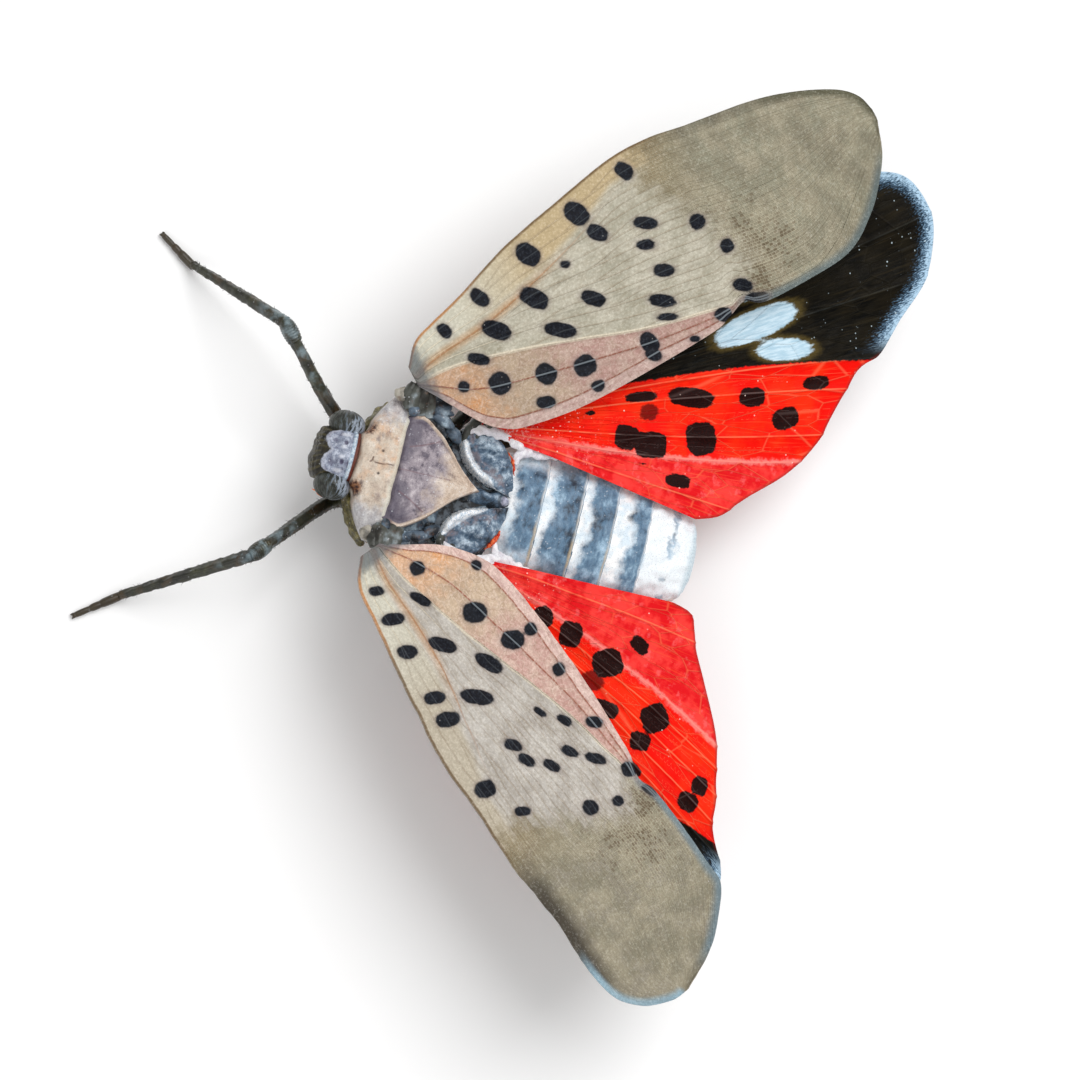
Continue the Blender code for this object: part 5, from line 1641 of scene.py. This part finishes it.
def build_hindwing(suffix):
    """One hindwing as a fan of thin membrane, its ribs raised and the stretches between them pleated."""
    wing = HINDWINGS[suffix]
    side = wing["side"]
    root = np.array(HINDWING_ROOT) * (side, 1, 1)
    edge = smooth_line(wing["edge"])
    inner, outer = wing["edge"][0][0], wing["edge"][-1][0]
    s = np.linspace(0, 1, HINDWING_STATIONS)
    lines = [np.full_like(s, inner)]
    lines += [near + (far - near) * s for near, far in wing["veins"]]
    lines.append(np.full_like(s, outer))
    angle = rows_across(np.array(lines), (12,) * (len(lines) - 1))
    reach = np.interp(angle, edge[:, 0], edge[:, 1])
    radius = HINDWING_NECK + s[:, None] * (reach - HINDWING_NECK)
    x = radius * np.sin(np.radians(angle))
    y = radius * np.cos(np.radians(angle))
    over_body = held((2.2 - x) / 3) * held((y - 1) / 3)
    z = wing["climb"] * x + wing["fall"] * y + HINDWING_LIFT * over_body
    normal = np.array([-wing["climb"] * side, -wing["fall"], 1])
    normal /= np.linalg.norm(normal)
    mid = root + stacked(side * x, y, z)
    per_degree = radius * math.pi / 180
    ridge = np.zeros_like(angle)
    nearest = np.full_like(angle, 9)
    pleat = np.zeros_like(angle)
    for line in lines[1:-1]:
        off = (angle - line[:, None]) * per_degree
        ridge = np.maximum(ridge, 0.055 * bell(off, 0.07))
        nearest = np.where(np.abs(off) < np.abs(nearest), off, nearest)
    for near, far in zip(lines[:-1], lines[1:]):
        share = held((angle - near[:, None]) / (far - near)[:, None])
        pleat -= 0.05 * np.sin(np.pi * share) * held((far - near)[:, None] * per_degree)
    flat = stacked(x, y, np.zeros_like(x))
    wave = (0.07 * lumps(flat, 3.5, 21) + 0.012 * lumps(flat, 0.5, 22)) * held(radius / 6)
    fold_line = lines[FOLD_VEIN]
    step_down = 0.1 / (1 + np.exp((angle - fold_line[:, None]) * per_degree / 0.12))
    lift = (pleat + wave - step_down * held(radius / 4))[..., None]
    upper = mid + normal * (lift + (0.5 * FAN_THICK + ridge)[..., None])
    lower = mid + normal * (lift - (0.5 * FAN_THICK + 0.3 * ridge)[..., None])
    rim_points = np.column_stack([edge[:, 1] * np.sin(np.radians(edge[:, 0])),
        edge[:, 1] * np.cos(np.radians(edge[:, 0]))])
    rim = edge_distance(x, y, smooth_line(rim_points, 4))
    first, near, far, last = wing["black_start"]
    boundary = near + (far - near) * (radius - first) / (last - first)
    black = np.minimum((angle - boundary) * per_degree, (radius - first) * 1.5)
    spots = spot_distance(x, y, wing["spots"], 3)
    brown, white = (spot_distance(x, y, wing[kind]) for kind in ("brown_spots", "white"))
    fields = {"place": sheet_place(x, y), "fan": two_sided(angle, radius, rim),
        "marks": two_sided(spots, brown, white),
        "zones": two_sided(black, (fold_line[:, None] - angle) * per_degree, nearest)}
    add_piece("hindwing_sheet_" + suffix, thin_sheet(upper, lower), hindwing_finish(suffix),
        ("hindwing_" + suffix,), fields)


for wing_side in ("left", "right"):
    build_hindwing(wing_side)


# The legs: slender dark limbs in four parts, thigh, shin, three-part foot and claws, ridged along
# their length and set with short bristles; the hind shins carry four strong spines each.
LEGS = {  # thigh from the hip to the knee, heel, claw tip and hip socket, as on the left
    "fore_left": {"side": 1,
        "femur": [(1.25, -4.5, -3.3), (1.75, -5.2, -3), (3.2, -6.4, -2.2), (4.83, -7.74, -1.4)],
        "foot": (7.3, -12.15, -4.95), "claw": (8.65, -13.85), "socket": (1, -3.9, -2.3)},
    "fore_right": {"side": -1,
        "femur": [(1.25, -4.5, -3.3), (1.75, -5.3, -3), (3, -6.9, -2.1), (4.83, -8.82, -1.3)],
        "foot": (7, -12.8, -4.95), "claw": (8, -14.4), "socket": (1, -3.9, -2.3)},
    "mid_left": {"side": 1,
        "femur": [(2.3, -1.1, -3.45), (2.85, -0.8, -3.15), (4.1, -0.1, -2.35), (5.5, 0.5, -1.9)],
        "foot": (8.4, 3.4, -4.95), "claw": (9.5, 5.2), "socket": (1.5, -1.4, -2.9)},
    "hind_left": {"side": 1,
        "femur": [(2.35, 0.7, -3.5), (2.95, 1.4, -3.25), (3.65, 2.9, -2.8), (4.3, 4.4, -2.4)],
        "foot": (6.3, 10.6, -4.95), "claw": (7.1, 12.8), "socket": (1.5, 0.3, -2.9)}}
LEGS["mid_right"] = dict(LEGS["mid_left"], side=-1)
LEGS["hind_right"] = dict(LEGS["hind_left"], side=-1)
FEMUR_THICK = (0.32, 0.34, 0.31, 0.26)
TIBIA_THICK = (0.24, 0.25, 0.23, 0.2, 0.17, 0.17)
BRISTLES = 150  # to a leg
BRISTLE_LONG = 0.16
BRISTLE_THICK = 0.016
CLAW_LEVEL = FEET_LEVEL + 0.16
HEEL_LEVEL = FEET_LEVEL + 0.26
HIND_SPINES = (0.35, 0.52, 0.69, 0.86)  # shares of the shin passed at each spine


def ridged(grid, seed, ridges=6, depth=0.1):
    """A limb with shallow ridges down its length and an uneven skin."""
    turn = 2 * np.pi * np.arange(grid.shape[1]) / grid.shape[1]
    centre = grid.mean(axis=1, keepdims=True)
    factor = 1 + depth * 0.5 * np.cos(ridges * turn)[None, :, None]
    grid = centre + (grid - centre) * factor
    return lifted(grid, 0.018 * lumps(grid, 0.3, seed))


def bristles_on(grid, count, length, draw):
    """Short bristles rooted in a limb's skin and leaning towards its end."""
    normals = grid_normals(grid)
    shapes = []
    rows, columns = grid.shape[:2]
    for _ in range(count):
        i = draw.randrange(2, rows - 3)
        j = draw.randrange(columns)
        root = grid[i, j] - 0.02 * normals[i, j]
        along = grid[i + 2, j] - grid[i, j]
        along /= np.linalg.norm(along)
        lean = normals[i, j] * 0.75 + along * draw.uniform(0.5, 1.1)
        tip = root + lean / np.linalg.norm(lean) * length * draw.uniform(0.6, 1.2)
        side = np.cross(lean, along)
        side = side / max(np.linalg.norm(side), 1e-06) * BRISTLE_THICK
        other = np.cross(side, lean)
        other = other / max(np.linalg.norm(other), 1e-06) * BRISTLE_THICK
        points = [root + side, root - 0.5 * side + 0.87 * other, root - 0.5 * side - 0.87 * other, tip]
        shapes.append((points, [(0, 1, 2), (0, 3, 1), (1, 3, 2), (2, 3, 0)]))
    return shapes


def foot_part(path, radii, sides):
    """A length of the foot, kept above the floor."""
    part = tube_grid(path, radii, sides, 8)
    part[..., 2] = np.maximum(part[..., 2], FEET_LEVEL)
    return closed_body(part)


def build_leg(name, leg):
    """One whole leg; its parts meet at pinched joints."""
    draw = random.Random(name)
    flip = np.array((leg["side"], 1, 1))
    femur = np.array(leg["femur"]) * flip
    foot = np.array(leg["foot"]) * flip
    claw = np.array((*leg["claw"], CLAW_LEVEL)) * flip
    knee = femur[-1]
    thigh = ridged(tube_grid(femur, FEMUR_THICK, 28, 16, flat=0.85), 101)
    shin_path = [knee + (foot - knee) * share for share in (0, 0.08, 0.4, 0.7, 0.93, 1)]
    shin = ridged(tube_grid(shin_path, TIBIA_THICK, 28, 14), 102, ridges=4, depth=0.16)
    socket = np.array(leg["socket"]) * flip
    hip = tube_grid([socket, 0.5 * (socket + femur[0]), femur[0], femur[0] + 0.35 * (femur[1] - femur[0])],
        (0.5, 0.52, 0.4, 0.2), 28, 14)
    hip = lifted(hip, 0.02 * lumps(hip, 0.5, 103))
    shapes = [closed_body(hip), closed_body(thigh), closed_body(shin)]
    back = femur[-2] - knee
    back /= np.linalg.norm(back)
    sleeve = tube_grid([knee - 0.1 * back, knee + 0.15 * back, knee + 0.5 * back, knee + 0.9 * back],
        (0.24, 0.33, 0.35, 0.3), 28, 16)
    worn = 0.012 * np.cos(np.linspace(0, 60, len(sleeve)))[:, None] + 0 * sleeve[..., 0]
    shapes.append(closed_body(lifted(sleeve, worn)))
    heel = np.array((foot[0], foot[1], HEEL_LEVEL))
    reach = claw - heel
    for start, end, thick in ((-0.04, 0.42, 0.19), (0.4, 0.62, 0.16), (0.6, 0.95, 0.13)):
        path = [heel + reach * (start + (end - start) * share) for share in (0, 0.35, 0.8, 1)]
        shapes.append(foot_part(path, (0.9 * thick, thick, 0.95 * thick, 0.75 * thick), 22))
    claw_end = heel + reach
    level = reach / np.linalg.norm(reach)
    aside = np.cross(level, (0, 0, 1))
    for turn in (-1, 1):
        path = [heel + reach * 0.9, heel + reach * 0.96 + aside * 0.05 * turn + (0, 0, 0.04),
            claw_end + aside * 0.09 * turn + (0, 0, -0.08)]
        shapes.append(foot_part(path, (0.09, 0.07, 0.02), 12))
    if name.startswith("hind"):
        outward = np.array((leg["side"] * 0.75, 0.1, 0.25))
        down = (foot - knee) / np.linalg.norm(foot - knee)
        for share in HIND_SPINES:
            base = knee + (foot - knee) * share
            tip = base + 0.65 * outward + 0.2 * down
            spine = tube_grid([base, 0.5 * (base + tip), tip], (0.12, 0.07, 0.02), 12, 8)
            shapes.append(closed_body(spine))
    shapes += bristles_on(thigh, BRISTLES, BRISTLE_LONG, draw)
    shapes += bristles_on(shin, BRISTLES, BRISTLE_LONG, draw)
    nodes = ["femur_" + name, "tibia_" + name, "tarsus_" + name]
    add_piece("leg_" + name, join_shapes(shapes), limb_finish, nodes)


for leg_name, leg_sizes in LEGS.items():
    build_leg(leg_name, leg_sizes)
